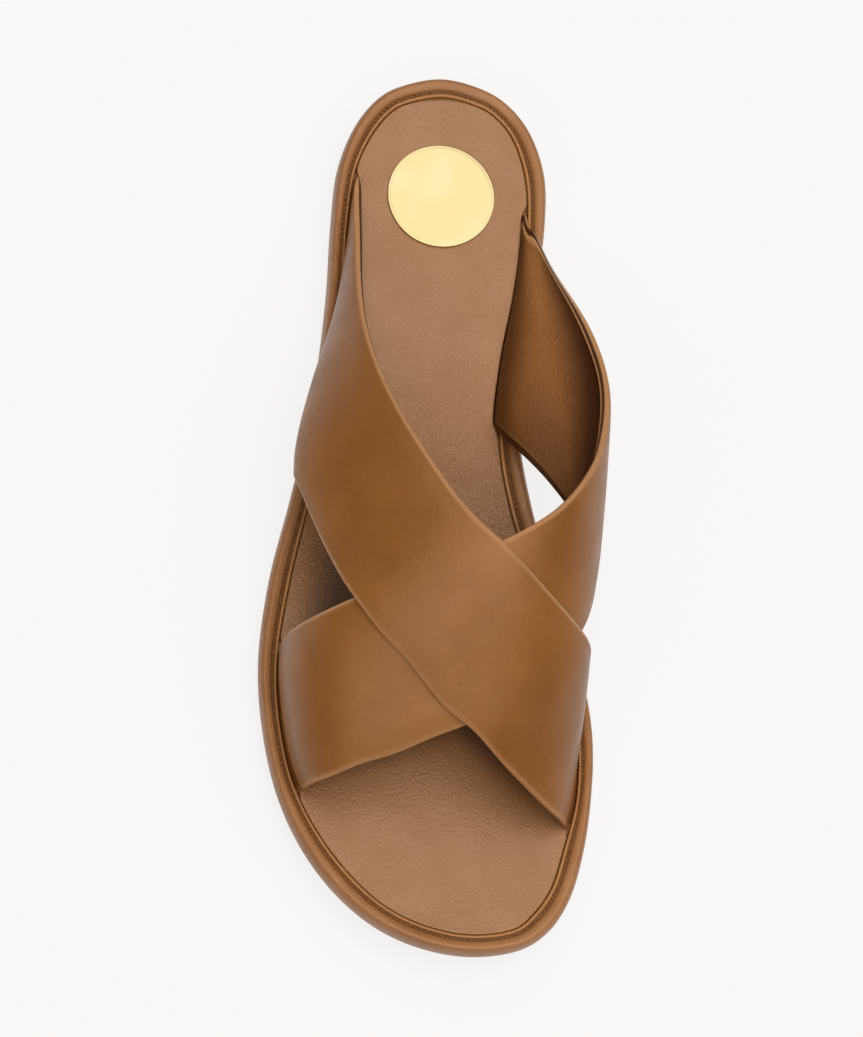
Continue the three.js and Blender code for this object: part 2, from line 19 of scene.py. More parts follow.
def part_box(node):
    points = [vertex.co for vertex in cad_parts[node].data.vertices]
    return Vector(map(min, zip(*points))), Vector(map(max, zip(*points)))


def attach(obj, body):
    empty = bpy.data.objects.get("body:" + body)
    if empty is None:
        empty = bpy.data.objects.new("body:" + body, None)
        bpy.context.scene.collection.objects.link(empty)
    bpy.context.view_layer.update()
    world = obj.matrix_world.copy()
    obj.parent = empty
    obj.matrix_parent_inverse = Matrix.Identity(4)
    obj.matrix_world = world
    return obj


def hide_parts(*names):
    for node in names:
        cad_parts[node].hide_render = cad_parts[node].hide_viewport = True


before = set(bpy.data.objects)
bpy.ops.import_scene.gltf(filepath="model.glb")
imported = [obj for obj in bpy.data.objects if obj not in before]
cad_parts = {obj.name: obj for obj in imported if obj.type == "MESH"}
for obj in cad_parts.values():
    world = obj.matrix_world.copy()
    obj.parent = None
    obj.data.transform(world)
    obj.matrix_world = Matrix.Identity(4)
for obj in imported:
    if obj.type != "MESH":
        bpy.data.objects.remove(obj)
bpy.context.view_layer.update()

Array: TypeAlias = np.ndarray
Colour: TypeAlias = tuple[float, float, float, float]
Height: TypeAlias = Callable[[Array], Array]

LOG = logging.getLogger("sandal")
MM = 0.001
PHOTO_WIDTH = 863
PHOTO_HEIGHT = 1037


class Side(Enum):
    """The two long sides of the shoe."""

    LATERAL = "lateral"
    MEDIAL = "medial"


class Slot(Enum):
    """The record's material slots."""

    SOLE = "outsole"
    RIM = "rim_leather"
    INSOLE = "insole_leather"
    STRAP = "strap_leather"
    GOLD = "gold"


def mix(a: Any, b: Any, share: Any) -> Any:
    """Value at a share of the way from a to b."""
    return a + (b - a) * share


def smooth(share: Any) -> Any:
    """Soft step from 0 to 1, held flat outside that range."""
    held = np.clip(share, 0.0, 1.0)
    return held * held * (3 - 2 * held)


def srgb(red: int, green: int, blue: int) -> Colour:
    """Colour as the shaders take it, from its red, green and blue out of 255."""
    def linear(part: float) -> float:
        return part / 12.92 if part <= 0.04045 else ((part + 0.055) / 1.055) ** 2.4

    return linear(red / 255), linear(green / 255), linear(blue / 255), 1.0


def blur(grid: Array, steps: float, axis: int) -> Array:
    """Smooths a grid of points along one axis and leaves its end points where they are.

    Args:
        grid: Points, with the last axis for x, y and z.
        steps: Spread of the smoothing, in steps of the grid.
        axis: Axis to smooth along.

    Returns:
        The smoothed grid.
    """
    reach = min(int(3 * steps) + 1, grid.shape[axis] - 1)
    line = np.moveaxis(grid, axis, 0)
    head = 2 * line[:1] - line[reach:0:-1]
    tail = 2 * line[-1:] - line[-2:-reach - 2:-1]
    padded = np.concatenate([head, line, tail])
    weights = np.exp(-0.5 * (np.arange(-reach, reach + 1) / steps) ** 2)
    weights /= weights.sum()
    count = len(line)
    total = sum(weight * padded[i:i + count] for i, weight in enumerate(weights))
    return np.moveaxis(total, 0, axis)


def normals_of(grid: Array) -> Array:
    """Unit normals of a surface given as a grid of points."""
    cross = np.cross(np.gradient(grid, axis=0), np.gradient(grid, axis=1))
    return cross / np.linalg.norm(cross, axis=-1, keepdims=True)


def columns_at(grid: Array, at: Array) -> Array:
    """Smooth values of each row of a grid at fractional columns.

    Args:
        grid: Values as rows, columns, parts.
        at: Fractional column numbers, as many rows as the grid has.

    Returns:
        Values as rows, asked columns, parts.
    """
    last = grid.shape[1] - 1
    start = np.clip(np.floor(at).astype(int), 0, last - 1)
    t = (at - start)[..., None]
    p0, p1, p2, p3 = (
        np.take_along_axis(grid, np.clip(start + k, 0, last)[..., None], axis=1)
        for k in (-1, 0, 1, 2)
    )
    lean = (p2 - p0) * t
    bend = (2 * p0 - 5 * p1 + 4 * p2 - p3) * t ** 2
    twist = (3 * p1 - p0 - 3 * p2 + p3) * t ** 3
    return p1 + 0.5 * (lean + bend + twist)


@dataclass(frozen=True)
class Table:
    """Sections of a form as short rows with named columns. The first column is the key."""

    names: tuple[str, ...]
    rows: tuple[tuple[float, ...], ...]

    def column(self, name: str) -> Array:
        """All values of one column."""
        return np.array([row[self.names.index(name)] for row in self.rows])

    def at(self, name: str, key: Array) -> Array:
        """Smooth curve through one column.

        Args:
            name: The column.
            key: Places along the first column.

        Returns:
            The column's values at those places.
        """
        keys, values = self.column(self.names[0]), self.column(name)
        run = np.diff(keys)
        slope = np.diff(values) / run
        inner = (slope[:-1] * run[1:] + slope[1:] * run[:-1]) / (run[:-1] + run[1:])
        tangent = np.concatenate([slope[:1], inner, slope[-1:]])
        held = np.clip(key, keys[0], keys[-1])
        i = np.clip(np.searchsorted(keys, held, side="right") - 1, 0, len(run) - 1)
        t = (held - keys[i]) / run[i]
        rise = mix(values[i], values[i + 1], smooth(t))
        lean = (t ** 3 - 2 * t ** 2 + t) * tangent[i] + (t ** 3 - t ** 2) * tangent[i + 1]
        return rise + lean * run[i]


# Outline of the sole. along runs from the toe's tip to the heel's as a share of the length;
# lateral and medial are shares of the ball's width from the middle, and the rim columns are
# widths of the rim there as shares of rim_width.
OUTLINE = Table(
    ("along", "lateral", "medial", "lateral_rim", "medial_rim"),
    (
        (0, 0.13, 0.13, 1, 1),
        (0.01, -0.025, 0.285, 1, 1.03),
        (0.032, -0.152, 0.367, 1.03, 1.17),
        (0.066, -0.261, 0.425, 1.08, 1.12),
        (0.116, -0.361, 0.467, 1.02, 1.08),
        (0.176, -0.434, 0.493, 0.88, 0.83),
        (0.247, -0.478, 0.5, 0.87, 0.87),
        (0.322, -0.492, 0.468, 0.95, 0.9),
        (0.413, -0.463, 0.395, 1.08, 1.06),
        (0.504, -0.404, 0.323, 1, 1.25),
        (0.584, -0.357, 0.286, 0.95, 1.2),
        (0.665, -0.322, 0.293, 0.88, 0.95),
        (0.746, -0.299, 0.331, 0.8, 0.88),
        (0.826, -0.287, 0.363, 0.82, 1.02),
        (0.892, -0.267, 0.363, 0.95, 1.17),
        (0.946, -0.209, 0.311, 1.1, 1.15),
        (0.978, -0.135, 0.233, 1.15, 1.17),
        (0.993, -0.051, 0.149, 1.2, 1.2),
        (1, 0.049, 0.049, 1.22, 1.22),
    ),
)

# Cross-sections of the last over the insole. Places across are shares of the ball's width,
# rises are shares of the instep's height, and the round columns say how square the arches are.
LAST = Table(
    (
        "along", "ridge", "ridge_rise", "lateral",
        "lateral_rise", "medial", "medial_rise", "lateral_round", "medial_round",
    ),
    (
        (0.12, 0.081, 0.29, -0.267, 0.04, 0.368, 0.04, 2.2, 1.6),
        (0.19, 0.081, 0.462, -0.357, 0.06, 0.4, 0.077, 2.6, 1.8),
        (0.267, 0.102, 0.644, -0.404, 0.087, 0.433, 0.163, 2.6, 1.95),
        (0.353, 0.133, 0.837, -0.414, 0.144, 0.442, 0.317, 2.1, 2),
        (0.446, 0.186, 0.96, -0.398, 0.29, 0.462, 0.423, 1.8, 2),
        (0.531, 0.217, 0.988, -0.393, 0.354, 0.478, 0.45, 1.7, 2),
        (0.609, 0.228, 0.954, -0.344, 0.26, 0.488, 0.396, 1.65, 2),
        (0.694, 0.228, 0.923, -0.273, 0.144, 0.444, 0.288, 1.6, 1.9),
        (0.779, 0.196, 0.877, -0.227, 0.08, 0.365, 0.135, 1.6, 1.8),
        (0.829, 0.175, 0.837, -0.21, 0.058, 0.323, 0.087, 1.6, 1.7),
        (0.888, 0.144, 0.8, -0.196, 0.048, 0.291, 0.048, 1.6, 1.7),
    ),
)

# Edges of the straps as shares of the length from the toe. round runs over the last, from the
# little toe side's groove (0) through the ridge (0.5) to the big toe side's groove (1).
OVER_EDGES = Table(
    ("round", "back", "front"),
    (
        (0, 0.877, 0.52),
        (0.05, 0.876, 0.519),
        (0.15, 0.865, 0.508),
        (0.2, 0.852, 0.504),
        (0.24, 0.795, 0.48),
        (0.265, 0.733, 0.4515),
        (0.29, 0.682, 0.4225),
        (0.32, 0.632, 0.391),
        (0.36, 0.5645, 0.3515),
        (0.4, 0.5025, 0.3155),
        (0.44, 0.4495, 0.2855),
        (0.49, 0.409, 0.2335),
        (0.55, 0.38, 0.2),
        (0.62, 0.351, 0.1725),
        (0.7, 0.3295, 0.152),
        (0.78, 0.3205, 0.146),
        (0.88, 0.314, 0.144),
        (0.95, 0.308, 0.143),
        (1, 0.307, 0.143),
    ),
)

UNDER_EDGES = Table(
    ("round", "back", "front"),
    (
        (0, 0.336, 0.176),
        (0.05, 0.336, 0.176),
        (0.15, 0.334, 0.176),
        (0.26, 0.337, 0.176),
        (0.3, 0.341, 0.177),
        (0.34, 0.349, 0.1815),
        (0.38, 0.36, 0.188),
        (0.43, 0.378, 0.196),
        (0.48, 0.4, 0.215),
        (0.53, 0.419, 0.241),
        (0.6, 0.45, 0.278),
        (0.66, 0.489, 0.308),
        (0.71, 0.526, 0.335),
        (0.745, 0.57, 0.361),
        (0.775, 0.628, 0.394),
        (0.8, 0.678, 0.423),
        (0.815, 0.728, 0.438),
        (0.84, 0.792, 0.466),
        (0.9, 0.822, 0.549),
        (0.95, 0.842, 0.589),
        (1, 0.842, 0.592),
    ),
)

# Section of the footbed from its foot round the roll, through the sewn channel and over the
# strip into the recess. inset is in millimetres from the outline, up is a share of the side's
# height, and drop is in millimetres below the roll's crest.
RIM_SECTION = Table(
    ("step", "inset", "up", "drop"),
    (
        (0, 1.2, 0, 0),
        (1, 0.86, 0.05, 0),
        (2, 0.42, 0.17, 0),
        (3, 0.1, 0.35, 0),
        (4, 0, 0.54, 0),
        (5, 0.1, 0.72, 0),
        (6, 0.44, 0.87, 0),
        (7, 0.95, 0.965, 0),
        (8, 1.6, 1, 0),
        (9, 2.2, 1, 0.08),
        (10, 2.8, 1, 0.27),
        (11, 3.25, 1, 0.55),
        (12, 3.55, 1, 0.92),
        (13, 3.78, 1, 1.22),
        (14, 4.0, 1, 1.28),
        (15, 4.2, 1, 1.02),
        (16, 4.34, 1, 0.68),
        (17, 4.52, 1, 0.5),
        (18, 4.8, 1, 0.44),
        (19, 5.06, 1, 0.5),
        (20, 5.2, 1, 0.72),
        (21, 5.27, 1, 1.2),
        (22, 5.34, 1, 2.7),
    ),
)


@dataclass(frozen=True)
class Sizes:
    """Driving sizes of the shoe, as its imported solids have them."""

    length: float
    ball_width: float = 94.6
    forefoot_height: float = 12.2
    heel_height: float = 15.2
    toe_spring: float = 4.5
    heel_spring: float = 1.4
    arch_rise: float = 1.2
    outsole_thickness: float = 3.0
    outsole_inset: float = 1.4
    rim_width: float = 5.3
    insole_thickness: float = 2.0
    insole_drop: float = 0.5
    heel_dish: float = 0.9
    instep_height: float = 52.0
    wall: float = 2.5
    foot_wall: float = 1.3
    bond: float = 0.5
    drape: float = 22.0
    gap: float = 0.3
    toe_lifts_before: float = 0.202
    arch_from: float = 0.423
    arch_to: float = 0.665
    heel_full_from: float = 0.746
    heel_lifts_after: float = 0.95
    dish_ends_after: float = 0.94
    plug_end: float = 0.05
    swell_end: float = 0.2
    swell_pull: float = 0.45

    @classmethod
    def of_frame(cls) -> "Sizes":
        """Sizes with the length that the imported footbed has."""
        low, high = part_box("footbed")
        return cls(length=(high.y - low.y) / MM)


@dataclass
class Outline:
    """The sole's outline as one closed line of evenly spaced points.

    The toe's tip comes first, then the little toe side, the heel's tip and the big toe side, so
    that point i and point count - i face each other.
    """

    sizes: Sizes
    half: int = 420
    edge: Array = field(init=False)
    rim: Array = field(init=False)
    inward: Array = field(init=False)
    shift: Array = field(init=False)

    def __post_init__(self) -> None:
        """Works out the points, the rim's shares, the directions inward and the frame's shift."""
        dense = self._curve(self._corners(), 40)
        tip = int(np.argmin(np.abs(dense[:, 1] - self.sizes.length / 2)))
        sides = [dense[:tip + 1], np.concatenate([dense[tip:], dense[:1]])]
        points = np.concatenate([self._even(side, self.half)[:-1] for side in sides])
        self.edge, self.rim = points[:, :2], points[:, 2:]
        run = np.roll(self.edge, -1, 0) - np.roll(self.edge, 1, 0)
        run /= np.linalg.norm(run, axis=1, keepdims=True)
        self.inward = np.stack([run[:, 1], -run[:, 0]], axis=1)
        low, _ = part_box("footbed")
        self.shift = np.array([low.x / MM - self.edge[:, 0].min(), 0.0, 0.0])

    def _corners(self) -> Array:
        """Points of the outline's table round the shoe, each with the rim's share."""
        y = (OUTLINE.column("along") - 0.5) * self.sizes.length
        lateral, medial = (
            np.stack([
                OUTLINE.column(side.value) * self.sizes.ball_width,
                y,
                OUTLINE.column(f"{side.value}_rim"),
            ], axis=1)
            for side in (Side.LATERAL, Side.MEDIAL)
        )
        return np.concatenate([lateral, medial[-2:0:-1]])

    @staticmethod
    def _curve(points: Array, steps: int) -> Array:
        """Closed smooth curve through points, with some steps between each two."""
        before, after, far = (np.roll(points, k, 0) for k in (1, -1, -2))
        d0, d1, d2 = (
            np.sqrt(np.linalg.norm((b - a)[:, :2], axis=1, keepdims=True))
            for a, b in ((before, points), (points, after), (after, far))
        )
        leave = ((points - before) / d0 - (after - before) / (d0 + d1) + (after - points) / d1) * d1
        arrive = ((after - points) / d1 - (far - points) / (d1 + d2) + (far - after) / d2) * d1
        t = (np.arange(steps) / steps)[None, :, None]
        a, b, m, n = (part[:, None, :] for part in (points, after, leave, arrive))
        curve = a + m * t + (3 * b - 3 * a - 2 * m - n) * t ** 2 + (2 * a - 2 * b + m + n) * t ** 3
        return curve.reshape(-1, points.shape[1])

    @staticmethod
    def _even(line: Array, count: int) -> Array:
        """The same line as evenly spaced points."""
        step = np.linalg.norm(np.diff(line[:, :2], axis=0), axis=1)
        run = np.concatenate([[0], np.cumsum(step)])
        at = np.linspace(0, run[-1], count + 1)
        return np.stack([np.interp(at, run, part) for part in line.T], axis=1)

    def ring(self, inset: Any) -> Array:
        """The outline moved inward by one inset or by one for each point, wider at a wide rim."""
        plain, width = np.reshape(inset, (-1, 1)), self.sizes.rim_width
        return self.edge + self.inward * (plain + (self.rim - 1) * np.minimum(plain, width))

    def across(self, side: Side, y: Array, inset: float) -> Array:
        """Place across of the inset outline on one side, at some y."""
        points = self.ring(inset)
        if side is Side.LATERAL:
            half = points[:self.half + 1]
        else:
            half = np.concatenate([points[self.half:], points[:1]])[::-1]
        order = np.argsort(half[:, 1])
        return np.interp(y, half[order, 1], half[order, 0])


@dataclass
class Form:
    """The shoe's shared form: heights along the sole and the surface of the last."""

    sizes: Sizes
    outline: Outline

    def along(self, y: Array) -> Array:
        """Share of the length from the toe."""
        return y / self.sizes.length + 0.5

    def place(self, share: Array) -> Array:
        """Place along the shoe of a share of the length."""
        return (share - 0.5) * self.sizes.length

    def underside(self, y: Array) -> Array:
        """Height of the sole's underside."""
        s, share = self.sizes, self.along(y)
        toe = np.clip((s.toe_lifts_before - share) / s.toe_lifts_before, 0, None)
        heel = np.clip((share - s.heel_lifts_after) / (1 - s.heel_lifts_after), 0, None)
        arch = np.clip((share - s.arch_from) / (s.arch_to - s.arch_from), 0, 1)
        return s.toe_spring * toe ** 2 + s.heel_spring * heel ** 2 + s.arch_rise * np.sin(arch * np.pi) ** 2

    def crest(self, y: Array) -> Array:
        """Height of the crest of the footbed's roll."""
        s, share = self.sizes, self.along(y)
        toe = np.clip((s.toe_lifts_before - share) / s.toe_lifts_before, 0, None)
        heel = smooth((share - s.arch_from) / (s.heel_full_from - s.arch_from))
        return mix(s.forefoot_height, s.heel_height, heel) + s.toe_spring * toe ** 2

    def insole_edge(self, y: Array) -> Array:
        """Height of the insole at its edge."""
        return self.crest(y) - self.sizes.insole_drop

    def insole_top(self, y: Array, share: Array) -> Array:
        """Height of the insole at a share of the way across."""
        s = self.sizes
        heel = smooth((self.along(y) - s.arch_from) / (s.arch_to - s.arch_from))
        ends = np.clip((1 - self.along(y)) / (1 - s.dish_ends_after), 0, 1)
        return self.insole_edge(y) - s.heel_dish * heel * ends * (1 - (2 * share - 1) ** 2)

    def recess(self, y: Array) -> Array:
        """Height of the recess that holds the insole and the strap ends."""
        return self.insole_edge(y) - self.sizes.insole_thickness - self.sizes.gap

    def last(self, turn: Array, y: Array) -> Array:
        """Surface of the last, which is the straps' inside.

        Args:
            turn: Places round the last, as in the tables of the straps' edges.
            y: Places along the shoe.

        Returns:
            Points, with a last axis for x, y and z.
        """
        s, share = self.sizes, self.along(y)
        little = turn < 0.5
        way = np.minimum(turn, 1 - turn)
        inset = s.rim_width + s.gap + s.foot_wall

        def section(name: str) -> Array:
            return np.where(little, LAST.at(f"lateral{name}", share), LAST.at(f"medial{name}", share))

        foot = np.where(
            little,
            self.outline.across(Side.LATERAL, y, inset),
            self.outline.across(Side.MEDIAL, y, inset),
        )
        base = self.crest(y) + s.gap
        wide_x = section("") * s.ball_width
        wide_z = base + section("_rise") * s.instep_height
        ridge_x = LAST.at("ridge", share) * s.ball_width
        ridge_z = base + LAST.at("ridge_rise", share) * s.instep_height

        plug_z = mix(self.recess(y) + s.gap, base, way / s.plug_end)
        t = np.clip((way - s.plug_end) / (s.swell_end - s.plug_end), 0, 1)
        pull = s.swell_pull * (wide_z - base)
        start, lower, upper, end = (1 - t) ** 3, 3 * t * (1 - t) ** 2, 3 * t ** 2 * (1 - t), t ** 3
        swell_x = foot * (start + lower) + wide_x * (upper + end)
        swell_z = base * start + (base + pull) * lower + (wide_z - pull) * upper + wide_z * end

        angle = np.clip((way - s.swell_end) / (0.5 - s.swell_end), 0, 1) * np.pi / 2
        power = 2 / section("_round")
        arch_x = mix(ridge_x, wide_x, np.clip(np.cos(angle), 0, None) ** power)
        arch_z = mix(wide_z, ridge_z, np.sin(angle) ** power)

        plug, swell = way < s.plug_end, way < s.swell_end
        x = np.where(plug, foot, np.where(swell, swell_x, arch_x))
        z = np.where(plug, plug_z, np.where(swell, swell_z, arch_z))
        return np.stack([x, y, z], axis=-1)

    def wall(self, turn: Array) -> Array:
        """Thickness of a strap, which is skived where it stands in the groove."""
        s = self.sizes
        way = np.minimum(turn, 1 - turn)
        return mix(s.foot_wall, s.wall, smooth((way - s.plug_end) / (s.swell_end - s.plug_end)))

    def lift(self, turn: Array, y: Array) -> Array:
        """How far over the last the over strap runs, on and beside the under strap."""
        back = self.place(UNDER_EDGES.at("back", turn))
        front = self.place(UNDER_EDGES.at("front", turn))
        beyond = np.maximum(np.maximum(y - back, front - y), 0)
        return (self.sizes.wall - self.sizes.bond) * (1 - smooth(beyond / self.sizes.drape))


@dataclass
class MeshParts:
    """Points and faces of a mesh while it is put together."""

    points: list[Array] = field(default_factory=list)
    faces: list[tuple[int, ...]] = field(default_factory=list)
    corners: list[tuple[float, float]] = field(default_factory=list)
    count: int = 0

    def add(self, points: Array) -> int:
        """Adds points and gives the number of the first."""
        first = self.count
        self.points.append(np.reshape(points, (-1, 3)))
        self.count += len(self.points[-1])
        return first

    def all_points(self) -> Array:
        """Every point so far."""
        return np.concatenate(self.points)

    def outward(self) -> None:
        """Turns the faces over if together they point inward."""
        points = self.all_points()
        total = 0.0
        for face in self.faces:
            a = points[face[0]]
            for i in range(1, len(face) - 1):
                total += float(np.dot(a, np.cross(points[face[i]], points[face[i + 1]])))
        if total < 0:
            self.faces = [face[::-1] for face in self.faces]


class Link:
    """One output socket of a shader tree, so that shader maths reads as Python expressions."""

    def __init__(self, nodes: "Nodes", socket: bpy.types.NodeSocket) -> None:
        """Keeps the socket with the tree that it belongs to."""
        self.nodes = nodes
        self.socket = socket

    def _math(self, operation: str, a: Any, b: Any) -> "Link":
        """Adds a Math node for two values."""
        return self.nodes.add("ShaderNodeMath", {"operation": operation}, {0: a, 1: b})

    def __add__(self, other: Any) -> "Link":
        """This value plus another."""
        return self._math("ADD", self, other)

    def __radd__(self, other: Any) -> "Link":
        """Another value plus this one."""
        return self._math("ADD", other, self)

    def __sub__(self, other: Any) -> "Link":
        """This value less another."""
        return self._math("SUBTRACT", self, other)

    def __rsub__(self, other: Any) -> "Link":
        """Another value less this one."""
        return self._math("SUBTRACT", other, self)

    def __mul__(self, other: Any) -> "Link":
        """This value times another."""
        return self._math("MULTIPLY", self, other)

    def __rmul__(self, other: Any) -> "Link":
        """Another value times this one."""
        return self._math("MULTIPLY", other, self)

    def __truediv__(self, other: Any) -> "Link":
        """This value divided by another."""
        return self._math("DIVIDE", self, other)

    def __rtruediv__(self, other: Any) -> "Link":
        """Another value divided by this one."""
        return self._math("DIVIDE", other, self)

    def __pow__(self, other: Any) -> "Link":
        """This value to a power."""
        return self._math("POWER", self, other)

    def __rpow__(self, other: Any) -> "Link":
        """Another value to the power of this one."""
        return self._math("POWER", other, self)


class Nodes:
    """The shader tree of one material."""

    def __init__(self, tree: bpy.types.NodeTree) -> None:
        """Starts from an empty tree."""
        self.tree = tree
        tree.nodes.clear()

    def add(
        self,
        kind: str,
        settings: Mapping[str, Any] | None = None,
        sockets: Mapping[str | int, Any] | None = None,
        output: str | int = 0,
    ) -> Link:
        """Adds a node.

        Args:
            kind: Blender's name for the node's type.
            settings: The node's own settings, and a ramp's stops as (place, colour) pairs.
            sockets: A value or a link for each socket that is set.
            output: The output that is used further on.

        Returns:
            That output.
        """
        node = self.tree.nodes.new(kind)
        for name, value in (settings or {}).items():
            if name == "stops":
                self._set_stops(node.color_ramp, value)
            else:
                setattr(node, name, value)
        for name, value in (sockets or {}).items():
            if isinstance(value, Link):
                self.tree.links.new(value.socket, node.inputs[name])
            else:
                node.inputs[name].default_value = value
        return Link(self, node.outputs[output] if node.outputs else None)

    @staticmethod
    def _set_stops(ramp: bpy.types.ColorRamp, stops: Sequence[tuple[float, Colour]]) -> None:
        """Gives a ramp its stops."""
        while len(ramp.elements) < len(stops):
            ramp.elements.new(1.0)
        for element, (place, colour) in zip(ramp.elements, stops):
            element.position = place
            element.color = colour

    def blend(self, share: Any, a: Any, b: Any, mode: str = "MIX") -> Link:
        """Mixes two colours."""
        settings = {"data_type": "RGBA", "blend_type": mode, "clamp_factor": True}
        return self.add("ShaderNodeMix", settings, {0: share, 6: a, 7: b}, output=2)

    def position(self) -> Link:
        """Position in the object's own frame, in metres."""
        return self.add("ShaderNodeTexCoord", output="Object")

    def towards(self, direction: tuple[float, float, float]) -> Link:
        """How far the surround's direction leans towards one direction, from -1 to 1."""
        unit = Vector(direction).normalized()
        facing = self.add("ShaderNodeTexCoord", output="Generated")
        settings = {"operation": "DOT_PRODUCT"}
        return self.add("ShaderNodeVectorMath", settings, {0: facing, 1: tuple(unit)}, output="Value")

    def moved(self, vector: Link, by: Link, reach: float) -> Link:
        """A position pushed about by a coloured noise, up to a reach in metres."""
        centred = self.add(
            "ShaderNodeVectorMath", {"operation": "SUBTRACT"}, {0: by, 1: (0.5, 0.5, 0.5)}
        )
        scaled = self.add(
            "ShaderNodeVectorMath", {"operation": "SCALE"}, {0: centred, "Scale": 2 * reach}
        )
        return self.add("ShaderNodeVectorMath", {"operation": "ADD"}, {0: vector, 1: scaled})

    def attribute(self, name: str) -> Link:
        """A value that the mesh carries at its points."""
        return self.add("ShaderNodeAttribute", {"attribute_name": name}, output="Fac")

    def noise(self, vector: Link, size_mm: float, detail: float = 2.0, rough: float = 0.5) -> Link:
        """Soft noise from 0 to 1 with features of about that size."""
        sockets = {"Vector": vector, "Scale": 1 / (size_mm * MM), "Detail": detail, "Roughness": rough}
        return self.add("ShaderNodeTexNoise", None, sockets, output="Fac")

    def coloured_noise(self, vector: Link, size_mm: float) -> Link:
        """Soft noise with a separate value in each channel."""
        sockets = {"Vector": vector, "Scale": 1 / (size_mm * MM), "Detail": 1.0}
        return self.add("ShaderNodeTexNoise", None, sockets, output="Color")

    def cells(self, vector: Link, size_mm: float, feature: str) -> Link:
        """Distance in a pattern of cells of about that size."""
        sockets = {"Vector": vector, "Scale": 1 / (size_mm * MM)}
        return self.add("ShaderNodeTexVoronoi", {"feature": feature}, sockets, output="Distance")

    def ramp(self, value: Link, low: float, high: float, start: float = 0.0, end: float = 1.0) -> Link:
        """Soft step of a value between two levels."""
        sockets = {"Value": value, "From Min": low, "From Max": high, "To Min": start, "To Max": end}
        settings = {"interpolation_type": "SMOOTHSTEP", "clamp": True}
        return self.add("ShaderNodeMapRange", settings, sockets, output="Result")

    def bump(self, height: Link, depth_mm: float, below: Link | None = None) -> Link:
        """Relief of a height from 0 to 1 with a real depth."""
        sockets: dict[str | int, Any] = {"Height": height, "Distance": depth_mm * MM, "Strength": 1.0}
        if below is not None:
            sockets["Normal"] = below
        return self.add("ShaderNodeBump", None, sockets, output="Normal")

    def finish(self, sockets: Mapping[str | int, Any]) -> None:
        """Closes the tree with the main shader."""
        shader = self.add("ShaderNodeBsdfPrincipled", None, sockets, output="BSDF")
        self.add("ShaderNodeOutputMaterial", None, {"Surface": shader})


@dataclass(frozen=True)
class Leather:
    """A tanned leather: a grain of soft pebbles, pores, and a colour that drifts a little."""

    name: str
    light: Colour
    dark: Colour
    grain_mm: float
    grain_depth_mm: float
    wave_mm: float
    wave_depth_mm: float
    roughness: float
    gloss: float = 0.72
    gloss_tint: Colour = (1.0, 0.59, 0.37, 1.0)
    coat: float = 0.0
    pebbled: float = 0.75
    drift_mm: float = 22.0

    def colour(self, nodes: Nodes, position: Link, grain: Link) -> Link:
        """Colour over the surface.

        Args:
            nodes: The material's tree.
            position: Position in the object's frame.
            grain: Height of the grain from 0, in the creases, to 1.

        Returns:
            The colour.
        """
        drift = nodes.ramp(nodes.noise(position, self.drift_mm, 3.0), 0.35, 0.68)
        mottle = nodes.ramp(nodes.noise(position, 2.4, 3.0, 0.6), 0.3, 0.75)
        share = drift * 0.62 + mottle * 0.2 + grain * 0.18
        return nodes.blend(share, self.dark, self.light)

    def relief(self, nodes: Nodes, position: Link, grain: Link) -> Link:
        """Normal over the surface, from waves and grain."""
        waves = nodes.bump(nodes.noise(position, self.wave_mm, 1.5), self.wave_depth_mm)
        return nodes.bump(grain, self.grain_depth_mm, waves)

    def grain(self, nodes: Nodes, position: Link) -> Link:
        """Height of the grain, from 0 in the creases to 1 on the pebbles."""
        pushed = nodes.moved(position, nodes.coloured_noise(position, 3 * self.grain_mm), 0.3 * self.grain_mm * MM)
        pebbles = nodes.ramp(nodes.cells(pushed, self.grain_mm, "DISTANCE_TO_EDGE"), 0.0, 0.32)
        fine = nodes.ramp(nodes.noise(position, 0.45 * self.grain_mm, 2.0), 0.3, 0.7)
        return pebbles * self.pebbled + fine * (1 - self.pebbled)

    def shine(self, nodes: Nodes, position: Link, grain: Link) -> Link:
        """Roughness over the surface, duller in the creases of the grain."""
        patches = nodes.ramp(nodes.noise(position, 9.0, 2.0), 0.3, 0.7, -0.035, 0.035)
        return self.roughness + patches - (grain - 0.5) * 0.06

    def material(self) -> bpy.types.Material:
        """Makes the material."""
        material = bpy.data.materials.new(self.name)
        material.use_nodes = True
        nodes = Nodes(material.node_tree)
        position = nodes.position()
        grain = self.grain(nodes, position)
        nodes.finish({
            "Base Color": self.colour(nodes, position, grain),
            "Roughness": self.shine(nodes, position, grain),
            "Normal": self.relief(nodes, position, grain),
            "Specular IOR Level": self.gloss,
            "Specular Tint": self.gloss_tint,
            "Coat Weight": self.coat,
            "Coat Roughness": 0.28,
        })
        return material


@dataclass(frozen=True)
class StrapLeather(Leather):
    """Smooth strap leather, lighter along its turned edges, partly from burnish and partly as a painted highlight,
    with painted shade inside the turned edges and at the strap's foot.
    """

    # Lighter colour of the turned edges: partly burnish, partly a painted highlight.
    edge: Colour = srgb(188, 138, 94)
    # Colour of the painted shade inside the turned edges and at the strap's foot.
    seam: Colour = srgb(62, 32, 10)

    def colour(self, nodes: Nodes, position: Link, grain: Link) -> Link:
        """Colour over the surface, lighter at the turned edge, partly as a painted highlight, and darkened by
        painted shade on the inside of the edges and at the strap's foot.
        """
        turn = nodes.ramp(nodes.attribute("turned"), 0.35, 1.0, 0.0, 0.7)
        lighter = nodes.blend(turn, super().colour(nodes, position, grain), self.edge)
        # Painted shade inside the turned edges and at the strap's foot.
        return nodes.blend(nodes.ramp(nodes.attribute("seam"), 0.4, 0.9), lighter, self.seam)


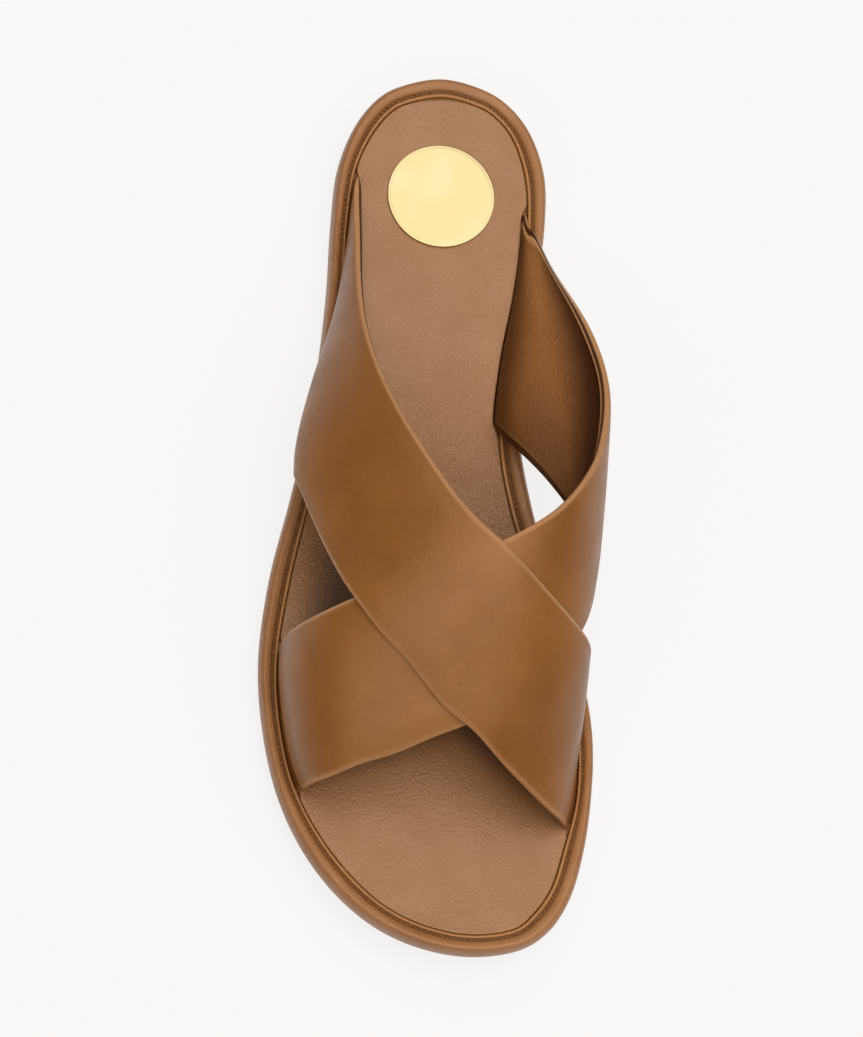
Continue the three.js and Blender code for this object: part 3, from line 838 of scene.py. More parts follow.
@dataclass(frozen=True)
class LiningLeather(Leather):
    """Lining leather with a paler cut edge, darkened by painted shade at its feet, high up and towards the strap's
    front and rear edges.
    """

    cut: Colour = srgb(182, 132, 84)
    # Colour of the painted shade on the lining.
    wear_and_shade: Colour = srgb(58, 26, 5)

    def colour(self, nodes: Nodes, position: Link, grain: Link) -> Link:
        """Colour over the surface, with the painted shade and the cut edge."""
        base = super().colour(nodes, position, grain)
        # Painted shade on the lining.
        darker = nodes.blend(nodes.attribute("wear_and_shade"), base, self.wear_and_shade)
        return nodes.blend(nodes.attribute("cut_edge") * 0.75, darker, self.cut)


@dataclass(frozen=True)
class RimLeather(Leather):
    """Leather of the roll, darkened unevenly by painted shade in the sewn channel."""

    # Colour of the painted shade in the sewn channel.
    channel_shade: Colour = srgb(74, 38, 4)
    strip: Colour = srgb(156, 103, 50)

    def colour(self, nodes: Nodes, position: Link, grain: Link) -> Link:
        """Colour over the surface, with the uneven painted shade in the channel and the strip inside it."""
        base = super().colour(nodes, position, grain)
        uneven = nodes.ramp(nodes.noise(position, 0.7, 2.0), 0.35, 0.65, 0.45, 1.0)
        # Painted shade in the sewn channel, uneven along it.
        channel_shaded = nodes.blend(nodes.attribute("channel") * uneven * 0.85, base, self.channel_shade)
        return nodes.blend(nodes.attribute("strip") * 0.6, channel_shaded, self.strip)


@dataclass(frozen=True)
class InsoleLeather(Leather):
    """Leather of the insole, its grain stronger under the arch, and painted shadow darkening it under the straps.
    """

    # Colour of the painted shadow under the straps.
    strap_shadow: Colour = srgb(62, 28, 3)

    def colour(self, nodes: Nodes, position: Link, grain: Link) -> Link:
        """Colour over the surface, with painted shadow where the straps hang over it."""
        base = super().colour(nodes, position, grain)
        # Painted shadow under the crossed straps.
        return nodes.blend(nodes.attribute("strap_shadow") * 0.8, base, self.strap_shadow)

    def relief(self, nodes: Nodes, position: Link, grain: Link) -> Link:
        """Normal over the surface, its grain deeper towards the middle of the foot."""
        waves = nodes.bump(nodes.noise(position, self.wave_mm, 1.5), self.wave_depth_mm)
        even = nodes.bump(grain, 0.5 * self.grain_depth_mm, waves)
        return nodes.bump(grain * nodes.attribute("middle"), self.grain_depth_mm, even)


@dataclass(frozen=True)
class Thread:
    """Waxed sewing thread with a fine twist."""

    name: str = "waxed thread"
    light: Colour = srgb(150, 102, 58)
    dark: Colour = srgb(84, 50, 20)

    def material(self) -> bpy.types.Material:
        """Makes the material."""
        material = bpy.data.materials.new(self.name)
        material.use_nodes = True
        nodes = Nodes(material.node_tree)
        position = nodes.position()
        fibre = nodes.noise(position, 0.25, 3.0)
        nodes.finish({
            "Base Color": nodes.blend(nodes.ramp(fibre, 0.3, 0.7), self.dark, self.light),
            "Roughness": 0.5 + fibre * 0.1,
            "Normal": nodes.bump(fibre, 0.05),
        })
        return material


@dataclass(frozen=True)
class Gold:
    """Pale polished metal with a faint haze of fine wear."""

    name: str = "pale gold"
    base: Colour = srgb(164, 146, 105)
    # In the gold this colour is only a haze of fine wear.
    wear_and_shade: Colour = srgb(166, 150, 113)

    def material(self) -> bpy.types.Material:
        """Makes the material."""
        material = bpy.data.materials.new(self.name)
        material.use_nodes = True
        nodes = Nodes(material.node_tree)
        position = nodes.position()
        haze = nodes.noise(position, 15.0, 1.0)
        lines = nodes.noise(position, 0.35, 2.0)
        nodes.finish({
            "Base Color": nodes.blend(nodes.ramp(haze, 0.35, 0.7), self.base, self.wear_and_shade),
            "Metallic": 1.0,
            "Roughness": 0.17 + haze * 0.08,
            "Normal": nodes.bump(lines, 0.0015),
        })
        return material


@dataclass(frozen=True)
class SoleRubber:
    """Smooth dark brown sole with a fine matt texture."""

    name: str = "brown sole rubber"
    light: Colour = srgb(112, 74, 44)
    dark: Colour = srgb(84, 52, 28)

    def material(self) -> bpy.types.Material:
        """Makes the material."""
        material = bpy.data.materials.new(self.name)
        material.use_nodes = True
        nodes = Nodes(material.node_tree)
        position = nodes.position()
        speckle = nodes.noise(position, 0.5, 3.0, 0.6)
        drift = nodes.ramp(nodes.noise(position, 18.0, 2.0), 0.35, 0.7)
        nodes.finish({
            "Base Color": nodes.blend(drift * 0.7 + speckle * 0.3, self.dark, self.light),
            "Roughness": 0.58 + speckle * 0.12,
            "Normal": nodes.bump(speckle, 0.06),
        })
        return material


@dataclass
class Maker:
    """Turns points and faces into pieces that ride with the frame."""

    form: Form

    def piece(
        self,
        name: str,
        parts: MeshParts,
        material: bpy.types.Material,
        slot: Slot,
        replaces: Sequence[str] = (),
        carried: Mapping[str, Array] | None = None,
        sharp_deg: float = 40.0,
    ) -> bpy.types.Object:
        """Makes one piece.

        Args:
            name: The piece's name.
            parts: Its points and faces, in millimetres.
            material: Its finish.
            slot: The record's slot for that finish. Not used.
            replaces: Nodes that the piece stands for.
            carried: Values for the material, one array over the points for each name.
            sharp_deg: Edges sharper than this stay sharp in the shading.

        Returns:
            The piece.
        """
        parts.outward()
        points = (parts.all_points() + self.form.outline.shift) * MM
        mesh = bpy.data.meshes.new(name)
        mesh.from_pydata(points.tolist(), [], parts.faces)
        mesh.validate()
        for key, values in (carried or {}).items():
            attribute = mesh.attributes.new(key, "FLOAT", "POINT")
            attribute.data.foreach_set("value", np.asarray(values, np.float32).ravel())
        mesh.shade_smooth()
        mesh.set_sharp_from_angle(angle=math.radians(sharp_deg))
        mesh.materials.append(material)
        mesh.update()
        piece = bpy.data.objects.new(name, mesh)
        bpy.context.scene.collection.objects.link(piece)
        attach(piece, "root")
        if replaces:
            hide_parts(*replaces)
        LOG.info("%s: %d faces", name, len(mesh.polygons))
        return piece

    def plate(self, rings: Sequence[Array], under: Array, top: Array) -> MeshParts:
        """Closes rings round the shoe's outline with a grid below and a grid above.

        Args:
            rings: Closed rings of points, from the underside's edge up and over to the top's.
            under: Inner points of the underside, as rows along the shoe and columns across.
            top: Inner points of the top, in the same order.

        Returns:
            The closed mesh.
        """
        parts = MeshParts()
        count = len(rings[0])
        starts = [parts.add(ring) for ring in rings]
        step = np.arange(count)
        after = (step + 1) % count
        for low, high in zip(starts, starts[1:]):
            quads = np.stack([low + step, low + after, high + after, high + step], axis=1)
            parts.faces.extend(map(tuple, quads.tolist()))
        self._cap(parts, starts[0], count, under, flip=False)
        self._cap(parts, starts[-1], count, top, flip=True)
        return parts

    @staticmethod
    def _cap(parts: MeshParts, loop: int, count: int, inner: Array, flip: bool) -> None:
        """Fills a ring with rows that join its two long sides."""
        half = count // 2
        rows, columns = inner.shape[:2]
        first = parts.add(inner)
        middle = first + np.arange(rows * columns).reshape(rows, columns)
        lateral = loop + 1 + np.arange(rows)
        medial = loop + count - 1 - np.arange(rows)
        grid = np.concatenate([lateral[:, None], middle, medial[:, None]], axis=1)
        quads = np.stack(
            [grid[:-1, :-1], grid[:-1, 1:], grid[1:, 1:], grid[1:, :-1]], axis=-1
        ).reshape(-1, 4)
        toe = [(loop, int(b), int(a)) for a, b in zip(grid[0, :-1], grid[0, 1:])]
        heel = [(loop + half, int(a), int(b)) for a, b in zip(grid[-1, :-1], grid[-1, 1:])]
        faces = [*map(tuple, quads.tolist()), *toe, *heel]
        parts.faces.extend(face[::-1] for face in faces) if flip else parts.faces.extend(faces)

    def rows_across(self, ring: Array, columns: int, height: Callable[[Array, Array], Array]) -> Array:
        """Points inside a ring, in rows from its little toe side to its big toe side.

        Args:
            ring: The closed ring.
            columns: Steps across.
            height: Height at some y and share of the way across.

        Returns:
            Points as rows, columns and x, y, z.
        """
        half = len(ring) // 2
        share = (np.arange(1, columns) / columns)[None, :]
        lateral = ring[1:half, None, :2]
        medial = ring[:half:-1, None, :2]
        flat = mix(lateral, medial, share[..., None])
        z = height(flat[..., 1], np.broadcast_to(share, flat.shape[:2]))
        return np.concatenate([flat, z[..., None]], axis=-1)

    def level(self, inset: Any, height: Height) -> Array:
        """The outline at an inset, at a height that follows the length."""
        flat = self.form.outline.ring(inset)
        return np.concatenate([flat, height(flat[:, 1])[:, None]], axis=1)


@dataclass
class Outsole:
    """The thin sole, with rounded edges and fine ribs under the ball and the heel."""

    maker: Maker
    finish: SoleRubber
    edge_round: float = 0.6
    columns: int = 64
    rib_pitch: float = 3.2
    rib_depth: float = 0.45
    border: float = 0.14
    ball: tuple[float, float] = (0.12, 0.4)
    heel: tuple[float, float] = (0.7, 0.93)

    def _tread(self, y: Array, share: Array) -> Array:
        """Depth of the grooves between the ribs."""
        along = self.maker.form.along(y)
        fade = 0.015
        zones = sum(
            smooth((along - start) / fade) * smooth((end - along) / fade)
            for start, end in (self.ball, self.heel)
        )
        inside = smooth((share - self.border) / 0.02) * smooth((1 - self.border - share) / 0.02)
        wave = smooth(1.4 * np.sin(y / self.rib_pitch * 2 * np.pi) - 0.1)
        return self.rib_depth * zones * inside * wave

    def build(self) -> bpy.types.Object:
        """Makes the outsole."""
        form, maker = self.maker.form, self.maker
        sizes = form.sizes
        top: Height = lambda y: form.underside(y) + sizes.outsole_thickness
        angles = np.linspace(0, np.pi / 2, 5)
        low = [
            maker.level(
                sizes.outsole_inset + self.edge_round * (1 - math.sin(a)),
                lambda y, a=a: form.underside(y) + self.edge_round * (1 - math.cos(a)),
            )
            for a in angles
        ]
        high = [
            maker.level(
                sizes.outsole_inset + 0.4 * self.edge_round * (1 - math.cos(a)),
                lambda y, a=a: top(y) - 0.4 * self.edge_round * (1 - math.sin(a)),
            )
            for a in angles
        ]
        rings = [*low, *high]
        under = maker.rows_across(
            rings[0], self.columns, lambda y, share: form.underside(y) + self._tread(y, share)
        )
        upper = maker.rows_across(rings[-1], 12, lambda y, share: top(y))
        parts = maker.plate(rings, under, upper)
        return maker.piece("sole", parts, self.finish.material(), Slot.SOLE, ["outsole"])


@dataclass
class Footbed:
    """The leather-wrapped footbed: its side, roll, sewn channel and strip, and its stitches."""

    maker: Maker
    finish: RimLeather
    thread: Thread
    steps: int = 4
    stitch_pitch: float = 1.5
    stitch_length: float = 1.02
    stitch_width: float = 0.5
    stitch_inset: float = 3.84
    stitch_drop: float = 1.02
    stitch_sides: int = 8

    def _section(self) -> tuple[Array, Array, Array]:
        """Insets, shares up and drops of the fine section."""
        last = len(RIM_SECTION.rows) - 1
        at = np.linspace(0, last, last * self.steps + 1)
        return tuple(RIM_SECTION.at(name, at) for name in ("inset", "up", "drop"))

    def build(self) -> bpy.types.Object:
        """Makes the wrapped footbed."""
        form, maker = self.maker.form, self.maker
        sizes = form.sizes
        foot: Height = lambda y: form.underside(y) + sizes.outsole_thickness + 0.05
        rings, channel, strip = [], [], []
        for inset, up, drop in zip(*self._section()):
            height = lambda y, up=up, drop=drop: mix(foot(y), form.crest(y), up) - drop
            rings.append(maker.level(inset, height))
            # Where the painted shade of the sewn channel lies.
            channel.append(math.exp(-((inset - self.stitch_inset) / 0.42) ** 2))
            strip.append(float(smooth((inset - 4.25) / 0.2)))
        floor = maker.level(sizes.rim_width + 0.15, form.recess)
        rings.append(floor)
        channel.append(0.0)
        strip.append(0.0)
        under = maker.rows_across(rings[0], 12, lambda y, share: foot(y))
        top = maker.rows_across(floor, 12, lambda y, share: form.recess(y))
        parts = maker.plate(rings, under, top)
        rest = len(under.reshape(-1, 3)) + len(top.reshape(-1, 3))
        carried = {
            "channel": np.concatenate([np.repeat(channel, len(floor)), np.zeros(rest)]),
            "strip": np.concatenate([np.repeat(strip, len(floor)), np.zeros(rest)]),
        }
        return maker.piece(
            "footbed_wrap", parts, self.finish.material(), Slot.RIM, ["footbed"], carried
        )

    def _stitch(self) -> tuple[Array, list[tuple[int, ...]]]:
        """One stitch along x, bowed up in its middle, with its ends in the leather."""
        along = np.linspace(-0.5, 0.5, 7)
        angles = np.arange(self.stitch_sides) / self.stitch_sides * 2 * np.pi
        points = []
        for t in along:
            thick = 0.5 * self.stitch_width * math.sqrt(max(1 - (2 * t) ** 4, 0.04))
            bow = 0.16 * (1 - (2 * t) ** 2) - 0.1
            points.extend(
                (t * self.stitch_length, thick * math.cos(a), bow + thick * math.sin(a)) for a in angles
            )
        n = self.stitch_sides
        faces: list[tuple[int, ...]] = [tuple(range(n)), tuple(range(len(points) - 1, len(points) - n - 1, -1))]
        for i in range(len(along) - 1):
            for k in range(n):
                after = (k + 1) % n
                faces.append((i * n + k, (i + 1) * n + k, (i + 1) * n + after, i * n + after))
        return np.array(points), faces

    def stitches(self) -> bpy.types.Object:
        """Makes the row of stitches round the channel as one joined mesh."""
        form, maker = self.maker.form, self.maker
        line = maker.level(self.stitch_inset, lambda y: form.crest(y) - self.stitch_drop)
        closed = np.concatenate([line, line[:1]])
        run = np.concatenate([[0], np.cumsum(np.linalg.norm(np.diff(closed, axis=0), axis=1))])
        count = round(run[-1] / self.stitch_pitch)
        at = (np.arange(count) + 0.5) * run[-1] / count
        centre, ahead, behind = (
            np.stack([np.interp((at + move) % run[-1], run, closed[:, k]) for k in range(3)], axis=1)
            for move in (0, 0.3, -0.3)
        )
        forward = ahead - behind
        forward /= np.linalg.norm(forward, axis=1, keepdims=True)
        aside = np.cross([0, 0, 1], forward)
        aside /= np.linalg.norm(aside, axis=1, keepdims=True)
        raised = np.cross(forward, aside)
        lean = 0.3
        heading = forward + lean * aside
        heading /= np.linalg.norm(heading, axis=1, keepdims=True)
        shape, faces = self._stitch()
        points = (
            centre[:, None]
            + heading[:, None] * shape[None, :, :1]
            + np.cross(raised, heading)[:, None] * shape[None, :, 1:2]
            + raised[:, None] * shape[None, :, 2:]
        )
        parts = MeshParts()
        parts.add(points)
        size = len(shape)
        parts.faces = [tuple(i + size * n for i in face) for n in range(count) for face in faces]
        return maker.piece("rim_stitches", parts, self.thread.material(), Slot.RIM)


@dataclass
class Insole:
    """The insole: a leather sheet with a dished heel, let in round the strap ends."""

    maker: Maker
    finish: InsoleLeather
    columns: int = 72
    edge_gap: float = 0.12
    seat_gap: float = 0.12
    seat_ease: float = 5.0
    seat_lead: float = 0.6
    cushion: float = 0.2
    cushion_reach: float = 6.0
    # Softness and edge fade of the painted shadow under the straps, in millimetres.
    shadow_ease: float = 12.0
    shadow_lead: float = 15.0

    def _inset(self) -> Array:
        """Inset of the insole's edge at each point of the outline, more at the strap ends."""
        form = self.maker.form
        sizes, outline = form.sizes, form.outline
        plain = sizes.rim_width + self.edge_gap
        seat = sizes.rim_width + sizes.gap + sizes.foot_wall + self.seat_gap
        y = outline.ring(plain)[:, 1]
        index = np.arange(len(y))
        little = (index > 0) & (index < outline.half)
        room = np.zeros(len(y))
        for edges in (OVER_EDGES, UNDER_EDGES):
            for side, turn in ((little, 0.0), (~little, 1.0)):
                front = form.place(float(edges.at("front", np.array(turn))))
                back = form.place(float(edges.at("back", np.array(turn))))
                from_front, from_back = (way / self.seat_ease for way in (y - front, back - y))
                inside = smooth(from_front + self.seat_lead) * smooth(from_back + self.seat_lead)
                room = np.maximum(room, np.where(side, inside, 0))
        return mix(plain, seat, room)

    def _strap_shadow(self, points: Array, ring: Array) -> Array:
        """Painted shadow under the crossed straps at each point, from 0 to 1, fading out towards the insole's
        edge.
        """
        form = self.maker.form
        turns = np.linspace(0.22, 0.78, 60)
        x, y = points[:, 0], points[:, 1]
        fronts, backs = [], []
        for edges in (OVER_EDGES, UNDER_EDGES):
            for name, lines in (("front", fronts), ("back", backs)):
                line = form.last(turns, form.place(edges.at(name, turns)))
                lines.append(np.interp(x, line[:, 0], line[:, 1]))
        before = smooth((y - np.minimum(*fronts)) / self.shadow_ease)
        behind = smooth((np.maximum(*backs) - y) / self.shadow_ease)
        inward = self._reach(points[None], ring)[0] / self.shadow_lead
        return before * behind * smooth(inward)

    @staticmethod
    def _reach(points: Array, ring: Array) -> Array:
        """Distance in plan from each point to a ring."""
        near = [
            np.linalg.norm(row[:, None, :2] - ring[None, :, :2], axis=-1).min(axis=1)
            for row in points
        ]
        return np.stack(near)

    def build(self) -> bpy.types.Object:
        """Makes the insole."""
        form, maker = self.maker.form, self.maker
        inset = self._inset()
        edge: Height = form.insole_edge
        low: Height = lambda y: form.recess(y) + 0.05
        steps = ((0, 0.4), (0.06, 0.18), (0.2, 0.05), (0.42, 0.0))
        rings = [maker.level(inset, low)]
        rings += [
            maker.level(inset + aside, lambda y, drop=drop: edge(y) - self.cushion - drop)
            for aside, drop in steps
        ]
        outer = rings[-1]

        upper = maker.rows_across(outer, self.columns, form.insole_top)
        upper[..., 2] -= self.cushion * (1 - smooth(self._reach(upper, outer) / self.cushion_reach))
        under = maker.rows_across(rings[0], 12, lambda y, share: low(y))
        parts = maker.plate(rings, under, upper)
        y = parts.all_points()[:, 1]
        share = form.along(y)
        middle = smooth((share - 0.3) / 0.15) * smooth((0.74 - share) / 0.2)
        # The second value is the painted shadow under the straps.
        carried = {"middle": middle, "strap_shadow": self._strap_shadow(parts.all_points(), outer)}
        return maker.piece(
            "insole_cover", parts, self.finish.material(), Slot.INSOLE, ["insole"], carried
        )


@dataclass(frozen=True)
class Section:
    """Closed section across a strap, as stations that go round it.

    A station's place across is start + share * width, and its height over the inside of the
    strap is level * wall + raise_mm.
    """

    start: Array
    share: Array
    level: Array
    raise_mm: Array
    # Lightening of the turned edges, partly a painted highlight, or the lining's cut edge.
    turned: Array
    # Painted shade, from 0 to 1.
    seam: Array


@dataclass
class Strap:
    """A leather band with turned edges and a lining, laid over the last."""

    maker: Maker
    name: str
    edges: Table
    lift: Callable[[Array, Array], Array]
    leather: StrapLeather
    lining: LiningLeather
    replaces: Sequence[str] = ()
    rows: int = 330
    columns: int = 72
    soften_mm: float = 3.2
    turn_out: float = 1.7
    turn_in: float = 1.1
    pillow: float = 0.28
    pillow_reach: float = 8.0
    seat_fill: float = 0.22
    band: float = 2.3
    lining_raise: float = 0.42
    lining_start: float = 0.03
    grid: Array = field(init=False)
    normals: Array = field(init=False)
    turns: Array = field(init=False)

    def __post_init__(self) -> None:
        """Works out the inside of the strap as a smooth grid."""
        form = self.maker.form
        trial = np.linspace(0, 1, 1500)
        centre = form.place((self.edges.at("front", trial) + self.edges.at("back", trial)) / 2)
        line = form.last(trial, centre)
        run = np.concatenate([[0], np.cumsum(np.linalg.norm(np.diff(line, axis=0), axis=1))])
        self.turns = np.interp(np.linspace(0, run[-1], self.rows), run, trial)
        front = form.place(self.edges.at("front", self.turns))[:, None]
        back = form.place(self.edges.at("back", self.turns))[:, None]
        y = mix(front, back, np.linspace(0, 1, self.columns + 1)[None, :])
        turn = np.broadcast_to(self.turns[:, None], y.shape)
        points = form.last(turn, y)
        points = points + normals_of(points) * self.lift(turn, y)[..., None]
        step = run[-1] / (self.rows - 1)
        width = float(np.median(np.linalg.norm(np.diff(points, axis=1), axis=-1)))
        points = blur(points, self.soften_mm / step, axis=0)
        points = blur(points, 0.6 * self.soften_mm / width, axis=1)
        self.grid = points
        self.normals = normals_of(points)

    def _laid(self, section: Section, turns: slice, ease: float) -> MeshParts:
        """Sweeps a section along the strap.

        Args:
            section: The closed section.
            turns: Rows of the grid to use.
            ease: Turn over which raised stations come up from the groove, or 0 for at once.

        Returns:
            The closed mesh.
        """
        grid, normals, at = self.grid[turns], self.normals[turns], self.turns[turns]
        run = np.cumsum(np.linalg.norm(np.diff(grid, axis=1), axis=-1), axis=1)
        run = np.concatenate([np.zeros((len(grid), 1)), run], axis=1)
        place = section.start[None] + section.share[None] * run[:, -1:]
        numbers = np.arange(grid.shape[1])
        index = np.stack([np.interp(s, r, numbers) for s, r in zip(place, run)])
        way = np.minimum(at, 1 - at)[:, None]
        wall = self.maker.form.wall(at)[:, None]
        wall = wall + self.seat_fill * (1 - smooth(way / self.maker.form.sizes.swell_end))
        risen = smooth(way / ease) if ease else 1.0
        height = section.level[None] * wall + section.raise_mm[None] * risen
        points = columns_at(grid, index) + columns_at(normals, index) * height[..., None]
        parts = MeshParts()
        parts.add(points)
        rows, size = points.shape[:2]
        number = np.arange(rows * size).reshape(rows, size)
        after = np.roll(number, -1, axis=1)
        quads = np.stack([number[:-1], after[:-1], after[1:], number[1:]], axis=-1).reshape(-1, 4)
        parts.faces = [*map(tuple, quads.tolist()), tuple(number[0][::-1].tolist()), tuple(number[-1].tolist())]
        return parts

    def _section(self) -> Section:
        """The strap's own section: a pillowed face, two turned edges and a flat inside."""
        angles = np.linspace(0, np.pi, 17)
        reach = np.where(angles <= np.pi / 2, self.turn_out, self.turn_in)
        ease = np.linspace(self.pillow_reach, self.turn_out, 9)[:-1]
        start = np.concatenate([ease, reach * (1 - np.sin(angles))])
        level = np.concatenate([np.ones(len(ease)), 0.5 + 0.5 * np.cos(angles)])
        fall = -self.pillow * (1 - smooth(start / self.pillow_reach))
        facing = np.concatenate([np.ones(len(ease)), np.clip(np.cos(angles), 0, 1)])
        # Lightening of the turned edge's outer face: partly burnish, partly a painted highlight.
        turned = np.clip(1 - start / (2 * self.turn_out), 0, 1)
        inside, outside = np.linspace(0, 1, 26), np.linspace(1, 0, 50)[1:-1]
        none, all_up = np.zeros(len(inside)), np.ones(len(outside))
        zero, one = 0 * start, 0 * start + 1
        # Painted shade on the inner half of the turned edges and across the flat inside.
        dark = smooth((0.5 - level) / 0.3)
        front = (start, zero, level, fall * facing, turned * level, dark)
        inner = (self.band * (1 - 2 * inside), inside, none, none, none, none + 1)
        back = (-start[::-1], one, level[::-1], (fall * facing)[::-1], turned[::-1], dark[::-1])
        outer = (self.pillow_reach * (1 - 2 * outside), outside, all_up, *[0 * all_up] * 3)
        columns = (np.concatenate([part[k] for part in (front, inner, back, outer)]) for k in range(6))
        return Section(*columns)

    def _lining_section(self) -> Section:
        """The lining's section: a thin sheet that stands a little proud of the inside."""
        inside = np.linspace(0, 1, 60)
        corner = np.array([0.0, 0.15, 0.45])
        drop = np.array([0.2, 0.75, 1.0])
        proud = np.concatenate([-drop, -np.ones(len(inside) - 2), -drop[::-1]]) * self.lining_raise
        start = np.concatenate([
            self.band + corner,
            (self.band + 0.5) * (1 - 2 * inside[1:-1]),
            -(self.band + corner[::-1]),
        ])
        share = np.concatenate([np.zeros(3), inside[1:-1], np.ones(3)])
        hidden = np.linspace(1, 0, 12)
        clear = np.zeros(len(inside) - 4)
        cut = np.concatenate([[0.7, 0.5, 0.2, 0], clear, [0.7, 1, 1, 1], np.zeros(len(hidden))])
        start = np.concatenate([start, self.band * (1 - 2 * hidden)])
        share = np.concatenate([share, hidden])
        level = np.concatenate([np.zeros(len(proud)), np.full(len(hidden), 0.2)])
        raised = np.concatenate([proud, np.zeros(len(hidden))])
        return Section(start, share, level, raised, cut, 0 * cut)

    @staticmethod
    def _lining_shade(cover: Section, turns: Array) -> Array:
        """How deep the painted shade on the lining lies, from 0 in its open part to 1 at its feet and high up,
        with less towards its front and rear edges.
        """
        way = np.minimum(turns, 1 - turns)
        high = smooth((way - 0.12) / 0.06)
        foot = 0.8 * (1 - smooth((way - 0.07) / 0.055))
        rear = 0.3 * smooth((cover.share - 0.7) / 0.3)
        front = 0.5 * smooth((0.55 - cover.share) / 0.45)
        return 0.92 * np.maximum(np.maximum(high, foot)[:, None], (rear + front)[None, :]).ravel()

    def build(self) -> list[bpy.types.Object]:
        """Makes the strap and its lining."""
        section = self._section()
        parts = self._laid(section, slice(None), 0.0)
        # Painted shade at the strap's foot, where it stands in the groove.
        foot = 0.35 * (1 - smooth(np.minimum(self.turns, 1 - self.turns) / 0.065))
        carried = {
            "turned": np.tile(section.turned, self.rows),
            "seam": np.maximum(foot[:, None], section.seam[None, :]).ravel(),
        }
        strap = self.maker.piece(
            f"{self.name}_strap", parts, self.leather.material(), Slot.STRAP, self.replaces, carried, 75.0
        )
        inner = np.flatnonzero(np.minimum(self.turns, 1 - self.turns) >= self.lining_start)
        cover = self._lining_section()
        sheet = self._laid(cover, slice(inner[0], inner[-1] + 1), 0.12)
        carried = {
            "cut_edge": np.tile(cover.turned, len(inner)),
            # Painted shade on the lining.
            "wear_and_shade": self._lining_shade(cover, self.turns[inner]),
        }
        lining = self.maker.piece(
            f"{self.name}_lining", sheet, self.lining.material(), Slot.STRAP, (), carried, 60.0
        )
        return [strap, lining]


@dataclass
class HeelDisc:
    """The round metal plate let into the insole at the heel, bare and softly bevelled."""

    maker: Maker
    finish: Gold
    sides: int = 160
    bevel: float = 0.7
    bevel_drop: float = 0.1
    corner: float = 0.12
    line_depth: float = 0.045

    def build(self) -> bpy.types.Object:
        """Makes the disc."""
        low, high = (np.array(corner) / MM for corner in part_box("heel_disc"))
        centre = (low + high) / 2 - self.maker.form.outline.shift
        radius = (high[0] - low[0]) / 2
        section = [
            (radius - 0.1, low[2]),
            (radius, low[2] + 0.1),
            (radius, high[2] - self.bevel_drop - self.corner),
            (radius - 0.3 * self.corner, high[2] - self.bevel_drop - 0.3 * self.corner),
            (radius - self.corner, high[2] - self.bevel_drop),
            (radius - self.bevel, high[2] - 0.03),
            (radius - self.bevel - 0.1, high[2] - self.line_depth),
            (radius - self.bevel - 0.24, high[2] - 0.01),
            (radius - self.bevel - 0.9, high[2]),
        ]
        angles = np.arange(self.sides) / self.sides * 2 * np.pi
        rings = [
            np.stack([
                centre[0] + r * np.cos(angles), centre[1] + r * np.sin(angles), np.full(self.sides, z),
            ], axis=1)
            for r, z in section
        ]
        parts = MeshParts()
        starts = [parts.add(ring) for ring in rings]
        for a, b in zip(starts, starts[1:]):
            for i in range(self.sides):
                after = (i + 1) % self.sides
                parts.faces.append((a + i, a + after, b + after, b + i))
        parts.faces.append(tuple(range(starts[0] + self.sides - 1, starts[0] - 1, -1)))
        parts.faces.append(tuple(range(starts[-1], starts[-1] + self.sides)))
        return self.maker.piece(
            "heel_plate", parts, self.finish.material(), Slot.GOLD, ["heel_disc"], None, 18.0
        )


@dataclass
class Studio:
    """A pale floor that glows a little, under a wide soft light in dark surroundings.

    A dark screen keeps the light off the quarter towards the heel and the little toe side.
    """

    floor_size: float = 40.0
    floor: Colour = (0.11, 0.105, 0.1, 1.0)
    floor_glow: Colour = (1.0, 0.985, 0.978, 1.0)
    floor_strength: float = 0.83
    surround: Colour = (1.0, 0.99, 0.975, 1.0)
    light_towards: tuple[float, float, float] = (-0.1, 0.02, 1.0)
    light_strength: float = 2.85
    light_edge: tuple[float, float] = (0.5, 0.9)
    screen_across: tuple[float, float] = (0.2, 0.36)
    screen_along: tuple[float, float] = (-0.36, -0.1)
    dark_strength: float = 0.08

    def _floor(self) -> None:
        """Lays the floor."""
        half = self.floor_size / 2
        mesh = bpy.data.meshes.new("floor")
        mesh.from_pydata(
            [(-half, -half, 0), (half, -half, 0), (half, half, 0), (-half, half, 0)], [], [(0, 1, 2, 3)]
        )
        floor = bpy.data.objects.new("floor", mesh)
        bpy.context.scene.collection.objects.link(floor)
        material = bpy.data.materials.new("pale floor")
        material.use_nodes = True
        nodes = Nodes(material.node_tree)
        nodes.finish({
            "Base Color": self.floor,
            "Roughness": 0.9,
            "Specular IOR Level": 0.1,
            "Emission Color": self.floor_glow,
            "Emission Strength": self.floor_strength,
        })
        mesh.materials.append(material)

    def build(self) -> None:
        """Sets up the studio."""
        self._floor()
        world = bpy.data.worlds.new("surround")
        world.use_nodes = True
        nodes = Nodes(world.node_tree)
        overhead = nodes.ramp(
            nodes.towards(self.light_towards), *self.light_edge, 0.0, self.light_strength
        )
        screen = (
            nodes.ramp(nodes.towards((-1, 0, 0)), *self.screen_across)
            * nodes.ramp(nodes.towards((0, 1, 0)), *self.screen_along)
        )
        strength = overhead * (1 - screen) + self.dark_strength
        glow = nodes.add(
            "ShaderNodeBackground", None, {"Color": self.surround, "Strength": strength}
        )
        nodes.add("ShaderNodeOutputWorld", None, {"Surface": glow})
        bpy.context.scene.world = world
        bpy.context.scene.view_settings.view_transform = "Standard"
        bpy.context.scene.view_settings.look = "None"


